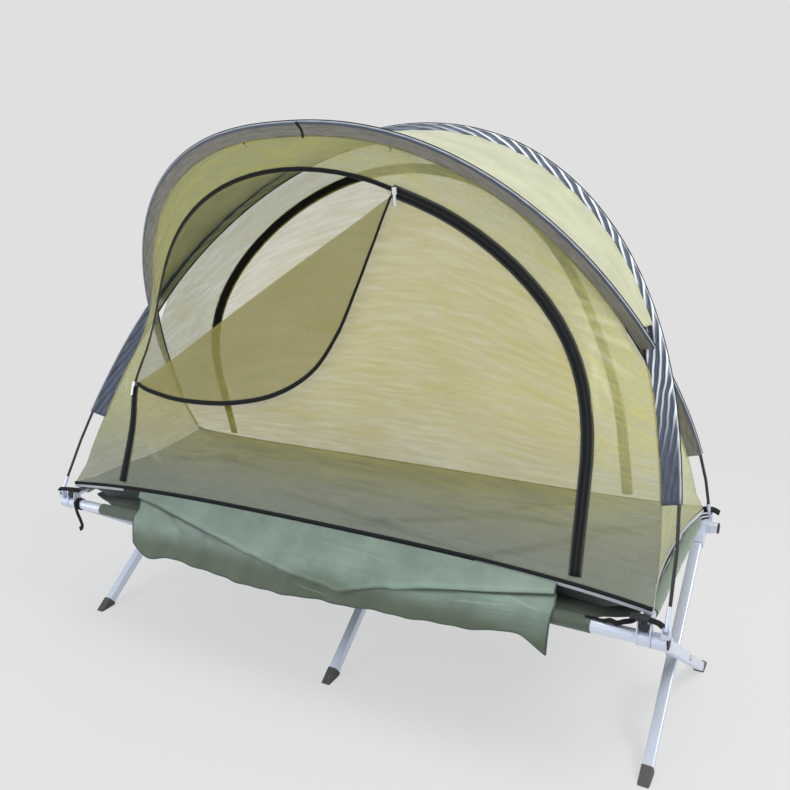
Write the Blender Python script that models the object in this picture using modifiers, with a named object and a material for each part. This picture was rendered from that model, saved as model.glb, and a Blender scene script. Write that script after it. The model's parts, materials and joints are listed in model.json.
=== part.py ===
"""Tent cot: a folding aluminium bed frame with a two-hoop mosquito tent standing on its rails.

X runs along the bed, Y across it (front at minus Y), Z up from the floor. All sizes are in metres.
"""

import math

import bmesh
import bpy
import numpy as np
from mathutils import Matrix, Vector
from mathutils.bvhtree import BVHTree

# bed frame
RAIL_END = 0.9212
RAIL_Y = 0.300
RAIL_Z = 0.395
RAIL_R = 0.015
TUBE_WALL = 0.0015
FOOT_Y = 0.248
LEG = 0.025
LEG_WALL = 0.002
LEG_TOP = 0.0215
INNER_LEG_X = 0.878
OUTER_LEG_X = 0.907
MIDDLE_LEG_X = 0.0145
BOOT = 0.0276
SOLE = 0.006
BOLT_R = 0.003
CLEAR = 0.0003

# end bars, which hinge on the front rail and rest on the rear one
BAR_X = 0.874
BAR_R = 0.012
BAR_Z = 0.427
BAR_HINGE_Y = -0.303
BAR_FRONT_Y = -0.3105
BAR_REAR_Y = 0.312

# hoops: foot, lean, reach along the lean, outline exponents
HOOP_FOOT_Y = 0.305
HOOP_FOOT_Z = 0.430
HOOP_STRAIGHT = 0.05
REAR_HOOP = {"x": 0.918, "lean": 33.6, "reach": 1.2305, "n": 1.985, "m": 2.045, "side": -1}
FRONT_HOOP = {"x": 0.896, "lean": 28.0, "reach": 1.1790, "n": 2.32, "m": 1.840, "side": 1}
POLE_R = 0.004
FERRULE_R = 0.0055
FERRULE_TOP = 0.046
SLEEVE_R = 0.007
SLEEVE_WALL = 0.0022
REAR_SLEEVE_FROM = 0.26
FRONT_SLEEVE_FROM = 0.235
EDGE_GAP = 0.0095

# how far the floor plan's middle lies behind the middle of the legs
CENTRE_Y = 0.021

# cloth
CLOTH = 0.0016
BINDING_Z = 0.466
ZIP_WIDTH = 0.026
ZIP_THICK = 0.0024
ZIP_LIFT = 0.0052
FRONT_ZIP = {"half": 0.700, "top": 1.365, "knee": 0.66}
REAR_ZIP = {"half": 0.685, "top": 1.350, "knee": 0.62}
DOOR_LOW = (-0.696, 0.752)
DOOR_HIGH = (0.262, 1.302)

PIVOT_Z = RAIL_Z * (1 - RAIL_Y / (RAIL_Y + FOOT_Y))
LEG_ANGLE = math.atan2(RAIL_Y + FOOT_Y, RAIL_Z)
LEG_LINE = math.hypot(RAIL_Y + FOOT_Y, RAIL_Z)

for old in list(bpy.data.objects):
    bpy.data.objects.remove(old, do_unlink=True)

parts = bpy.data.collections.new("TentCot")
cutters = bpy.data.collections.new("Cutters")
bpy.context.scene.collection.children.link(parts)
bpy.context.scene.collection.children.link(cutters)


def material(name, colour, metallic=0.0, roughness=0.6):
    made = bpy.data.materials.new(name)
    made.use_nodes = True
    shader = made.node_tree.nodes["Principled BSDF"]
    shader.inputs["Base Color"].default_value = (*colour, 1.0)
    shader.inputs["Metallic"].default_value = metallic
    shader.inputs["Roughness"].default_value = roughness
    return made


ALUMINIUM = (0.72, 0.74, 0.78)
ZINC = (0.75, 0.75, 0.78)
BLACK = (0.02, 0.02, 0.025)
SLATE = (0.05, 0.07, 0.11)
OLIVE = (0.42, 0.42, 0.20)
PALE = (0.62, 0.64, 0.36)
GREEN = (0.14, 0.20, 0.15)


def joint_empty(name, location, parent=None):
    """An empty on a joint's axis, which the moving pieces hang from."""
    empty = bpy.data.objects.new(name, None)
    parts.objects.link(empty)
    if parent:
        empty.parent = parent
        empty.matrix_parent_inverse = parent.matrix_world.inverted()
    empty.location = location
    bpy.context.view_layer.update()
    return empty


def put(obj, location=(0, 0, 0), rotation=(0, 0, 0), parent=None):
    obj.location = location
    obj.rotation_euler = rotation
    if parent:
        obj.parent = parent
        obj.matrix_parent_inverse = parent.matrix_world.inverted()
    bpy.context.view_layer.update()
    return obj


def finish(obj, colour, metallic=0.0, roughness=0.6):
    """Makes a solid a named piece of the object with its own material."""
    obj.data.materials.clear()
    obj.data.materials.append(material(obj.name, colour, metallic, roughness))
    if obj.name in cutters.objects:
        cutters.objects.unlink(obj)
        parts.objects.link(obj)
        obj.hide_render = False
        obj.display_type = "TEXTURED"
    return obj


def solid(name, mesh):
    """A new solid. It stays a hidden cutter until finish() makes it a piece."""
    obj = bpy.data.objects.new(name, mesh)
    cutters.objects.link(obj)
    obj.hide_render = True
    obj.display_type = "WIRE"
    return obj


def from_bmesh(name, bm):
    mesh = bpy.data.meshes.new(name)
    bm.to_mesh(mesh)
    bm.free()
    return solid(name, mesh)


def box(name, size, centre=(0, 0, 0)):
    bm = bmesh.new()
    bmesh.ops.create_cube(bm, size=1.0, matrix=Matrix.LocRotScale(Vector(centre), None, Vector(size)))
    return from_bmesh(name, bm)


def rod(name, radius, length, sides=20):
    """A round bar along X, centred on its origin."""
    bm = bmesh.new()
    turn = Matrix.Rotation(math.radians(90), 4, "Y")
    bmesh.ops.create_cone(
        bm, cap_ends=True, segments=sides, radius1=radius, radius2=radius, depth=length, matrix=turn
    )
    return from_bmesh(name, bm)


def boolean(obj, other, operation):
    step = obj.modifiers.new(operation.title(), "BOOLEAN")
    step.operation = operation
    step.solver = "EXACT"
    step.object = other
    return obj


def cut(obj, *others):
    for other in others:
        boolean(obj, other, "DIFFERENCE")
    return obj


def join(obj, *others):
    for other in others:
        boolean(obj, other, "UNION")
    return obj


def rounded(obj, width, segments=2):
    step = obj.modifiers.new("Bevel", "BEVEL")
    step.width = width
    step.segments = segments
    step.limit_method = "ANGLE"
    step.angle_limit = math.radians(50)
    return obj


def turned(name, profile, sides=16):
    """A solid of revolution about local Z from (radius, height) pairs, top to bottom down the outer side."""
    mesh = bpy.data.meshes.new(name)
    mesh.from_pydata([(r, 0, z) for r, z in profile], [(i, i + 1) for i in range(len(profile) - 1)], [])
    obj = solid(name, mesh)
    step = obj.modifiers.new("Screw", "SCREW")
    step.axis = "Z"
    step.steps = sides
    step.render_steps = sides
    step.use_merge_vertices = True
    step.merge_threshold = 0.00005
    return obj


def frozen(obj):
    """The evaluated shape of a curve or of a modified mesh, as a plain mesh."""
    bpy.context.view_layer.update()
    shape = obj.evaluated_get(bpy.context.evaluated_depsgraph_get())
    mesh = bpy.data.meshes.new_from_object(shape)
    bm = bmesh.new()
    bm.from_mesh(mesh)
    bmesh.ops.remove_doubles(bm, verts=bm.verts, dist=0.00002)
    bm.transform(obj.matrix_world)
    bm.to_mesh(mesh)
    bm.free()
    return mesh


def spline(name, points, dimensions="3D", closed=False):
    curve = bpy.data.curves.new(name, "CURVE")
    curve.dimensions = dimensions
    line = curve.splines.new("POLY")
    line.points.add(len(points) - 1)
    for point, at in zip(line.points, points):
        point.co = (*at, 1.0)
    line.use_cyclic_u = closed
    return bpy.data.objects.new(name, curve)


def wire(name, points, radius, capped=True):
    """A round wire or, without caps, an open round skin along points."""
    line = spline(name, points)
    line.data.bevel_depth = radius
    line.data.bevel_resolution = 2
    line.data.use_fill_caps = capped
    cutters.objects.link(line)
    mesh = frozen(line)
    bpy.data.objects.remove(line, do_unlink=True)
    return solid(name, mesh)


def plate(name, outline, thickness):
    """A flat plate across X from an outline in (Y, Z), centred on its origin in X."""
    line = spline(name, [(y, z, 0.0) for y, z in outline], "2D", closed=True)
    line.data.fill_mode = "BOTH"
    line.data.extrude = thickness / 2
    cutters.objects.link(line)
    mesh = frozen(line)
    bpy.data.objects.remove(line, do_unlink=True)
    mesh.transform(Matrix(((0, 0, 1, 0), (1, 0, 0, 0), (0, 1, 0, 0), (0, 0, 0, 1))))
    return solid(name, mesh)


def arc(radius, start, end, steps, centre=(0.0, 0.0)):
    """Points of a circular arc in degrees, as (Y, Z) pairs."""
    angles = np.radians(np.linspace(start, end, steps))
    return [(centre[0] + radius * math.cos(a), centre[1] + radius * math.sin(a)) for a in angles]


def skin_mesh(name, grid):
    """An open surface from a grid of points."""
    rows, columns = grid.shape[:2]
    faces = [
        (i * columns + j, (i + 1) * columns + j, (i + 1) * columns + j + 1, i * columns + j + 1)
        for i in range(rows - 1)
        for j in range(columns - 1)
    ]
    mesh = bpy.data.meshes.new(name)
    mesh.from_pydata([tuple(p) for p in grid.reshape(-1, 3)], [], faces)
    return mesh


def cloth(name, grid, thickness=CLOTH, offset=0.0):
    """A closed sheet from an open surface."""
    obj = solid(name, skin_mesh(name, grid))
    step = obj.modifiers.new("Solidify", "SOLIDIFY")
    step.thickness = thickness
    step.offset = offset
    return obj


def resampled(points, count):
    points = np.asarray(points, float)
    run = np.concatenate([[0], np.cumsum(np.linalg.norm(np.diff(points, axis=0), axis=1))])
    at = np.linspace(0, run[-1], count)
    return np.stack([np.interp(at, run, points[:, k]) for k in range(3)], 1)


def patch(bottom, top, left, right, columns, rows, rounds):
    """A four-sided surface between edge lines, drawn tight like a stretched film, in rows from the bottom."""
    bottom, top = resampled(bottom, columns), resampled(top, columns)
    left, right = resampled(left, rows), resampled(right, rows)
    u = np.linspace(0, 1, columns)[None, :, None]
    v = np.linspace(0, 1, rows)[:, None, None]
    across = left[:, None] * (1 - u) + right[:, None] * u
    along = bottom[None] * (1 - v) + top[None] * v
    corners = (
        bottom[0] * (1 - u) * (1 - v) + bottom[-1] * u * (1 - v) + top[0] * (1 - u) * v + top[-1] * u * v
    )
    grid = across + along - corners
    for _ in range(rounds):
        near = grid[:-2, 1:-1] + grid[2:, 1:-1] + grid[1:-1, :-2] + grid[1:-1, 2:]
        grid[1:-1, 1:-1] = near / 4
    return grid


def hoop_point(hoop, side, reach):
    """The centre of a pole at a distance reach up the hoop's lean, on the left (-1) or right (1) side."""
    rise = max(0.0, (reach - HOOP_STRAIGHT) / (hoop["reach"] - HOOP_STRAIGHT))
    x = hoop["x"] * max(0.0, 1 - rise ** hoop["m"]) ** (1 / hoop["n"])
    lean = math.radians(hoop["lean"])
    return np.array([
        side * x,
        hoop["side"] * (HOOP_FOOT_Y - reach * math.sin(lean)),
        HOOP_FOOT_Z + reach * math.cos(lean),
    ])


def hoop_line(hoop, start, end, steps):
    """Pole centres from reach start on the left side over the top to reach end on the right side."""
    span = hoop["reach"] - HOOP_STRAIGHT
    first = math.asin(min(1.0, max(0.0, (start - HOOP_STRAIGHT) / span)) ** (hoop["m"] / 2))
    last = math.asin(min(1.0, max(0.0, (end - HOOP_STRAIGHT) / span)) ** (hoop["m"] / 2))
    points = []
    for angle in np.linspace(first, math.pi - last, steps):
        reach = HOOP_STRAIGHT + span * math.sin(angle) ** (2 / hoop["m"])
        points.append(hoop_point(hoop, -1 if angle < math.pi / 2 else 1, reach))
    return np.array(points)


def hoop_leg(hoop, side, start, end, steps):
    return np.array([hoop_point(hoop, side, r) for r in np.linspace(start, end, steps)])


def moved_toward(line, target, gap=EDGE_GAP):
    """A cloth's edge line, off the pole's centre toward the cloth itself."""
    way = target - line
    return line + way / np.linalg.norm(way, axis=1)[:, None] * gap


# joint axes
rear_frame = joint_empty("rear_frame_axis", (0, 0, PIVOT_Z))
rear_hoop_axis = joint_empty("rear_hoop_axis", (0, -HOOP_FOOT_Y, HOOP_FOOT_Z))
front_hoop_axis = joint_empty("front_hoop_axis", (0, HOOP_FOOT_Y, HOOP_FOOT_Z), rear_frame)

# ground planes that trim the legs and boots
floor_cut = box("floor_cut", (2.2, 0.9, 0.1), (0, 0, -0.05))
leg_floor_cut = box("leg_floor_cut", (2.2, 0.9, 0.1), (0, 0, SOLE + CLEAR - 0.05))
cavity_floor_cut = box("cavity_floor_cut", (2.2, 0.9, 0.1), (0, 0, SOLE - 0.05))

# rails and their end plugs
for rail, y, owner in (("front_rail", -RAIL_Y, None), ("rear_rail", RAIL_Y, rear_frame)):
    tube = rod(rail, RAIL_R, 2 * RAIL_END, 24)
    bore = rod(rail + "_bore", RAIL_R - TUBE_WALL, 2 * RAIL_END + 0.02, 24)
    put(tube, (0, y, RAIL_Z), parent=owner)
    put(bore, (0, y, RAIL_Z), parent=owner)
    finish(cut(tube, bore), ALUMINIUM, 0.9, 0.35)
    for side, end in (("left", -1), ("right", 1)):
        plug = turned(
            f"{rail}_plug_{side}",
            [(0, 0.0038), (0.0125, 0.0038), (0.0148, 0.0022), (0.0148, CLEAR), (0.0131, CLEAR)]
            + [(0.0131, -0.016), (0, -0.016)],
            16,
        )
        put(plug, (end * RAIL_END, y, RAIL_Z), (0, end * math.radians(90), 0), owner)
        finish(plug, BLACK)


def leg(name, x, top_side, owner):
    """A square tube from the rail on top_side down to the other side's floor, with its boot."""
    turn = (-top_side * LEG_ANGLE, 0, 0)
    middle = (x, 0, PIVOT_Z)
    above = LEG_LINE * RAIL_Y / (RAIL_Y + FOOT_Y) - LEG_TOP
    below = LEG_LINE * FOOT_Y / (RAIL_Y + FOOT_Y) + 0.02
    tube = box(name, (LEG, LEG, above + below), (0, 0, (above - below) / 2))
    rounded(tube, 0.0025)
    bore = box(name + "_bore", (LEG - 2 * LEG_WALL, LEG - 2 * LEG_WALL, above + below + 0.1))
    bolt_hole = rod(name + "_bolt_hole", BOLT_R + CLEAR, 0.05, 12)
    put(tube, middle, turn, owner)
    put(bore, middle, turn, owner)
    put(bolt_hole, middle, parent=owner)
    finish(cut(tube, bore, bolt_hole, leg_floor_cut), ALUMINIUM, 0.9, 0.3)

    boot_top = -below + 0.048
    boot = box(name + "_boot", (BOOT, BOOT + 0.004, 0.10), (0, 0, boot_top - 0.05))
    rounded(boot, 0.003)
    well = box(name + "_boot_well", (LEG + 2 * CLEAR, LEG + 2 * CLEAR, 0.12), (0, 0, boot_top - 0.05))
    put(boot, middle, turn, owner)
    put(well, middle, turn, owner)
    finish(cut(boot, floor_cut, cut(well, cavity_floor_cut)), BLACK, 0.0, 0.8)


LEGS = [
    ("leg_left", -OUTER_LEG_X, -1, None),
    ("leg_middle", -MIDDLE_LEG_X, -1, None),
    ("leg_right", OUTER_LEG_X, -1, None),
    ("rear_leg_left", -INNER_LEG_X, 1, rear_frame),
    ("rear_leg_middle", MIDDLE_LEG_X, 1, rear_frame),
    ("rear_leg_right", INNER_LEG_X, 1, rear_frame),
]
for name, x, top_side, owner in LEGS:
    leg(name, x, top_side, owner)

# pivot bolts, each with the washer that keeps its two legs apart
HEAD, FACE, WASHER = 0.0310, 0.0272, 0.0017
PIVOT_X = (INNER_LEG_X + OUTER_LEG_X) / 2
for name, x, flip in (("left", -PIVOT_X, -1), ("middle", 0.0, 1), ("right", PIVOT_X, 1)):
    bolt = turned(
        f"pivot_bolt_{name}",
        [(0, HEAD), (0.005, HEAD), (0.0075, HEAD - 0.0015), (0.0075, FACE), (BOLT_R, FACE)]
        + [(BOLT_R, WASHER), (0.008, WASHER), (0.008, -WASHER), (BOLT_R, -WASHER)]
        + [(BOLT_R, -FACE), (0.0075, -FACE), (0.0075, -HEAD + 0.0015), (0.005, -HEAD), (0, -HEAD)],
        12,
    )
    put(bolt, (x, 0, PIVOT_Z), (0, flip * math.radians(90), 0))
    finish(bolt, ALUMINIUM, 0.9, 0.3)

# brackets that hold the legs to the rails
RING_R = RAIL_R + 0.0030
COLLAR = LEG + 0.0055
SADDLE_TOP = 0.0035


def bracket(name, x, side, owner):
    """A saddle under the rail with a square collar for the leg's top end."""
    slope = math.atan2(-RAIL_Z, -side * (RAIL_Y + FOOT_Y))
    start = math.degrees(math.asin(SADDLE_TOP / RING_R))
    body = plate(name, arc(RING_R, 180 - start, 360 + start, 19), COLLAR)
    way = Vector((math.cos(slope), math.sin(slope)))
    collar = box(name + "_collar", (COLLAR, COLLAR, 0.050))
    put(collar, (x, side * RAIL_Y + way.x * 0.033, RAIL_Z + way.y * 0.033), (-side * LEG_ANGLE, 0, 0), owner)
    seat = box(name + "_seat", (LEG + 2 * CLEAR, LEG + 2 * CLEAR, 0.060))
    reach = LEG_TOP - CLEAR + 0.030
    put(seat, (x, side * RAIL_Y + way.x * reach, RAIL_Z + way.y * reach), (-side * LEG_ANGLE, 0, 0), owner)
    bore = rod(name + "_bore", RAIL_R + CLEAR, 0.12, 24)
    put(bore, (x, side * RAIL_Y, RAIL_Z), parent=owner)
    put(body, (x, side * RAIL_Y, RAIL_Z), parent=owner)
    return join(body, collar), (bore, seat)


def ears(name, x, spacing, thickness, rail_y, hinge, radius, owner, ringed=False):
    """Two lugs either side of a hinged end, and the pin across them. Ringed lugs go round the rail."""
    eye = (hinge[0] - rail_y, hinge[1] - RAIL_Z)
    if ringed:
        outline = arc(RING_R + 0.0007, 180, 360, 15) + arc(radius, 10, 170, 11, eye)
    else:
        outline = [(eye[0] - radius, 0.0155), (eye[0] + radius, 0.0155)] + arc(radius, 0, 180, 11, eye)
    made = []
    for tag, way in (("a", -1), ("b", 1)):
        lug = plate(f"{name}_lug_{tag}", outline, thickness)
        put(lug, (x + way * (spacing + thickness) / 2, rail_y, RAIL_Z), parent=owner)
        made.append(lug)
    pin = rod(name + "_pin", 0.0025, spacing + 2 * thickness - 0.0004, 16)
    put(pin, (x, *hinge), parent=owner)
    return [*made, pin]


def collar_ring(name, x, width, rail_y, owner):
    ring = rod(name, RING_R - 0.0007, width, 24)
    put(ring, (x, rail_y, RAIL_Z), parent=owner)
    return ring


def clevis(name, hoop_x, rail_y, hinge, owner):
    """The web and two lugs that a hoop's foot turns in."""
    web = box(name + "_web", (0.0176, 0.018, 0.010))
    put(web, (hoop_x, hinge[0], hinge[1] - 0.0145), parent=owner)
    return [web, *ears(name, hoop_x, 0.0118, 0.0032, rail_y, hinge, 0.0078, owner)]


for side, end in (("left", -1), ("right", 1)):
    # front corner: leg collar and the rear hoop's clevis, over the rail's end
    name = f"front_bracket_{side}"
    body, holes = bracket(name, end * OUTER_LEG_X, -1, None)
    ring = collar_ring(name + "_ring", end * 0.9063, 0.0292, -RAIL_Y, None)
    holder = clevis(name, end * REAR_HOOP["x"], -RAIL_Y, (-HOOP_FOOT_Y, HOOP_FOOT_Z), None)
    finish(cut(join(body, ring, *holder), *holes), ALUMINIUM, 0.8, 0.4)

    # rear corner: leg collar, rest pad for the end bar and the front hoop's clevis
    name = f"rear_bracket_{side}"
    body, holes = bracket(name, end * INNER_LEG_X, 1, rear_frame)
    ring = collar_ring(name + "_ring", end * 0.8840, 0.0422, RAIL_Y, rear_frame)
    pad = box(name + "_pad", (0.0226, 0.018, 0.012))
    put(pad, (end * 0.8742, RAIL_Y, BAR_Z - BAR_R - 0.0004 - 0.006), parent=rear_frame)
    holder = clevis(name, end * FRONT_HOOP["x"], RAIL_Y, (HOOP_FOOT_Y, HOOP_FOOT_Z), rear_frame)
    finish(cut(join(body, ring, pad, *holder), *holes), ALUMINIUM, 0.8, 0.4)

    # the lugs on the front rail that the end bar turns in
    name = f"bar_hinge_{side}"
    body = collar_ring(name, end * BAR_X, 0.0294, -RAIL_Y, None)
    bore = rod(name + "_bore", RAIL_R + CLEAR, 0.05, 24)
    put(bore, (end * BAR_X, -RAIL_Y, RAIL_Z))
    pin = (BAR_HINGE_Y, BAR_Z)
    lugs = ears(name, end * BAR_X, 2 * BAR_R + 0.0008, 0.0028, -RAIL_Y, pin, 0.0095, None, True)
    finish(cut(join(body, *lugs), bore), BLACK)

for name, x, side, owner in (
    ("middle_bracket", -MIDDLE_LEG_X, -1, None),
    ("rear_middle_bracket", MIDDLE_LEG_X, 1, rear_frame),
):
    body, holes = bracket(name, x, side, owner)
    finish(cut(body, *holes), ALUMINIUM, 0.8, 0.4)

# end bars and the canvas pockets around them
BAR_LENGTH = BAR_REAR_Y - BAR_FRONT_Y
POCKET_LENGTH = 0.50
for side, end in (("left", -1), ("right", 1)):
    axis = joint_empty(f"end_bar_axis_{side}", (end * BAR_X, BAR_HINGE_Y, BAR_Z))
    name = f"end_bar_{side}"
    bar = rod(name, BAR_R, BAR_LENGTH, 20)
    bore = rod(name + "_bore", BAR_R - TUBE_WALL, BAR_LENGTH + 0.02, 20)
    pin_hole = rod(name + "_pin_hole", 0.0029, 0.04, 16)
    centre = (end * BAR_X, (BAR_FRONT_Y + BAR_REAR_Y) / 2, BAR_Z)
    put(bar, centre, (0, 0, math.radians(90)), axis)
    put(bore, centre, (0, 0, math.radians(90)), axis)
    put(pin_hole, (end * BAR_X, BAR_HINGE_Y, BAR_Z), parent=axis)
    finish(cut(bar, bore, pin_hole), ALUMINIUM, 0.9, 0.3)

    name = f"end_pocket_{side}"
    pocket = rod(name, BAR_R + 0.0030, POCKET_LENGTH, 20)
    bore = rod(name + "_bore", BAR_R + 0.0005, POCKET_LENGTH + 0.02, 20)
    put(pocket, (end * BAR_X, 0, BAR_Z), (0, 0, math.radians(90)), axis)
    put(bore, (end * BAR_X, 0, BAR_Z), (0, 0, math.radians(90)), axis)
    finish(cut(pocket, bore), GREEN, 0.0, 0.9)

# canvas sleeves around the rails, open below for the middle brackets
for name, y, mid, owner in (
    ("rail_sleeve_front", -RAIL_Y, -MIDDLE_LEG_X, None),
    ("rail_sleeve_rear", RAIL_Y, MIDDLE_LEG_X, rear_frame),
):
    sleeve = rod(name, RAIL_R + 0.0024, 1.58, 24)
    bore = rod(name + "_bore", RAIL_R + 0.0005, 1.62, 24)
    notch = box(name + "_notch", (COLLAR + 0.006, 0.06, 0.05), (0, 0, SADDLE_TOP + 0.0065 - 0.025))
    put(sleeve, (-0.01, y, RAIL_Z), parent=owner)
    put(bore, (-0.01, y, RAIL_Z), parent=owner)
    put(notch, (mid, y, RAIL_Z), parent=owner)
    finish(cut(sleeve, bore, notch), GREEN, 0.0, 0.9)

# bed canvas, hanging a little between the rails
columns, rows = 15, 9
grid = np.zeros((rows, columns, 3))
for i, v in enumerate(np.linspace(-1, 1, rows)):
    for j, u in enumerate(np.linspace(-1, 1, columns)):
        sag = 0.010 * (1 - v * v) * (1 - u**6)
        grid[i, j] = (0.846 * u, 0.2806 * v, RAIL_Z + 0.0135 - sag)
finish(cloth("bed_canvas", grid, 0.0018), GREEN, 0.0, 0.9)


def binding(x, side):
    """The seam between the tent's tub and a wall: front (-1) or rear (1)."""
    u = abs(x) / 0.885
    return np.array([x, side * (0.236 + 0.045 * u**4), BINDING_Z - 0.012 * u**2])


# the tent's tub: a floor on the canvas with low turned-up sides
columns = 19
profile = ((1.0, 0.98), (0.99, 0.55), (0.965, 0.12), (0.90, 0.0), (0.55, 0.0), (0.0, 0.0))
grid = []
for u in np.linspace(-1, 1, columns):
    x = 0.884 * u
    rim = binding(x, 1)
    floor = RAIL_Z + 0.0195 + 0.0325 * max(0.0, (abs(u) - 0.86) / 0.14) ** 0.7
    line = [(x, -s * rim[1], floor + h * (rim[2] - 0.0045 - floor)) for s, h in profile]
    line += [(x, s * rim[1], floor + h * (rim[2] - 0.0045 - floor)) for s, h in profile[-2::-1]]
    grid.append(line)
finish(cloth("tent_tub", np.array(grid).transpose(1, 0, 2)), GREEN, 0.0, 0.9)

# hoops: poles, foot ferrules and the sleeves they run in
HOOPS = (
    ("rear_hoop", REAR_HOOP, rear_hoop_axis, REAR_SLEEVE_FROM, SLATE),
    ("front_hoop", FRONT_HOOP, front_hoop_axis, FRONT_SLEEVE_FROM, SLATE),
)
for name, hoop, owner, sleeve_from, colour in HOOPS:
    bow = hoop_line(hoop, HOOP_STRAIGHT, HOOP_STRAIGHT, 35)
    line = np.vstack([[hoop_point(hoop, -1, 0.0135)], bow, [hoop_point(hoop, 1, 0.0135)]])
    finish(put(wire(name + "_pole", line, POLE_R), parent=owner), BLACK, 0.0, 0.4)
    above = HOOP_FOOT_Z + sleeve_from * math.cos(math.radians(hoop["lean"]))
    sleeve = wire(name + "_sleeve", bow[bow[:, 2] > above], SLEEVE_R, capped=False)
    step = sleeve.modifiers.new("Solidify", "SOLIDIFY")
    step.thickness = SLEEVE_WALL
    step.offset = -1.0
    finish(put(sleeve, parent=owner), colour, 0.0, 0.7)
    for side, end in (("left", -1), ("right", 1)):
        ferrule = turned(
            f"{name}_ferrule_{side}",
            [(0, 0.0130), (0.0044, 0.0130), (0.0044, FERRULE_TOP), (FERRULE_R, FERRULE_TOP)]
            + [(FERRULE_R, -0.003), (0.0040, -FERRULE_R), (0, -FERRULE_R)],
            12,
        )
        foot = (end * hoop["x"], hoop["side"] * HOOP_FOOT_Y, HOOP_FOOT_Z)
        put(ferrule, foot, (hoop["side"] * math.radians(hoop["lean"]), 0, 0), owner)
        pin_hole = rod(f"{name}_ferrule_{side}_pin_hole", 0.0028, 0.03, 16)
        put(pin_hole, foot, parent=owner)
        finish(cut(ferrule, pin_hole), ALUMINIUM, 0.9, 0.3)

# where the two hoops cross, seen from the end
spread = math.tan(math.radians(REAR_HOOP["lean"])) + math.tan(math.radians(FRONT_HOOP["lean"]))
cross_z = 2 * HOOP_FOOT_Y / spread
REAR_CROSS = cross_z / math.cos(math.radians(REAR_HOOP["lean"]))
FRONT_CROSS = cross_z / math.cos(math.radians(FRONT_HOOP["lean"]))


def wall(legs, legs_cross, top, top_cross, side, columns, rows, rounds):
    """A net wall between one hoop's legs, the other hoop's arch and the tub's seam."""
    corner_y = HOOP_FOOT_Z + cross_z
    arch = hoop_line(top, top_cross + 0.045, top_cross + 0.045, 60)
    inside = arch * np.array([0.9, 1.0, 1.0]) - np.array([0, 0, 0.12])
    arch = moved_toward(arch, inside)
    edges = {}
    for way in (-1, 1):
        line = hoop_leg(legs, way, 0.052, legs_cross - 0.035, 24)
        line = moved_toward(line, line * np.array([0.5, 1.0, 1.0]), 0.0100)
        low = binding(way * 0.884, side) + np.array([0, 0, 0.001])
        high = np.array([way * (abs(arch[0, 0]) - 0.010), (line[-1, 1] + arch[0, 1]) / 2, corner_y])
        edges[way] = np.vstack([[low], line[2:], [high]])
    bottom = np.array([binding(x, side) + np.array([0, 0, 0.001]) for x in np.linspace(-0.884, 0.884, 40)])
    top_line = np.vstack([[edges[-1][-1]], arch, [edges[1][-1]]])
    return patch(bottom, top_line, edges[-1], edges[1], columns, rows, rounds)


front_grid = wall(REAR_HOOP, REAR_CROSS, FRONT_HOOP, FRONT_CROSS, -1, 25, 14, 300)
rear_grid = wall(FRONT_HOOP, FRONT_CROSS, REAR_HOOP, REAR_CROSS, 1, 21, 11, 300)


def surface(grid):
    """A lookup for the points of an open surface above a place in (X, Z)."""
    mesh = skin_mesh("lookup", grid)
    bm = bmesh.new()
    bm.from_mesh(mesh)
    tree = BVHTree.FromBMesh(bm)
    bm.free()
    bpy.data.meshes.remove(mesh)
    return tree


front_surface, rear_surface = surface(front_grid), surface(rear_grid)


def on_surface(tree, x, z, side, lift):
    """The point of a wall at (x, z), lifted off its outer face."""
    hit, normal, _, _ = tree.ray_cast(Vector((x, side * 0.8, z)), Vector((0, -side, 0)))
    if normal.y * side < 0:
        normal = -normal
    return hit + normal * lift, normal


def zip_path(shape, steps):
    """A door zip's line in (X, Z): straight low legs under a wide arch."""
    low = [(-shape["half"] - 0.006, 0.484), (-shape["half"], shape["knee"])]
    rise = shape["top"] - shape["knee"]
    over = []
    for angle in np.linspace(0, math.pi, steps)[1:-1]:
        x = -shape["half"] * math.cos(angle)
        z = shape["knee"] + rise * math.sin(angle) ** 0.96
        over.append((x, z))
    return low + over + [(-x, z) for x, z in low[::-1]]


def ribbon(name, path, tree, side, width, thickness, lift):
    """A flat tape on a wall's outer face along a path in (X, Z)."""
    path = np.array(path)
    way = np.gradient(path, axis=0)
    way /= np.linalg.norm(way, axis=1)[:, None]
    grid = []
    for across in (-width / 2, width / 2):
        line = []
        for (x, z), (dx, dz) in zip(path, way):
            point, _ = on_surface(tree, x - dz * across, z + dx * across, side, lift)
            line.append(point)
        grid.append(line)
    return cloth(name, np.array(grid), thickness)


front_zip_path = zip_path(FRONT_ZIP, 44)
rear_zip_path = zip_path(REAR_ZIP, 36)
front_zip = ribbon("front_zip", front_zip_path, front_surface, -1, ZIP_WIDTH, ZIP_THICK, ZIP_LIFT)
rear_zip = ribbon("rear_zip", rear_zip_path, rear_surface, 1, ZIP_WIDTH, ZIP_THICK, ZIP_LIFT)
for made in (front_zip, rear_zip):
    finish(put(made, parent=rear_hoop_axis), BLACK)

# the unzipped corner of the door: under the zip's arch and above the fold from slider to slider
arch = [p for p in front_zip_path if p[1] > DOOR_LOW[1] and p[0] < DOOR_HIGH[0]]
middle = Vector((-0.22, 1.02))
opening = []
for corner in [DOOR_LOW, *arch, DOOR_HIGH]:
    corner = Vector(corner)
    opening.append(corner + (middle - corner).normalized() * 0.016)
door_cut = plate("door_cut", opening, 0.9)
put(door_cut, (0, -0.25, 0), (0, 0, math.radians(-90)))

front_wall = cut(cloth("front_wall", front_grid), door_cut)
finish(put(front_wall, parent=rear_hoop_axis), OLIVE, 0.0, 0.9)
finish(put(cloth("rear_wall", rear_grid), parent=rear_hoop_axis), OLIVE, 0.0, 0.9)

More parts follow.
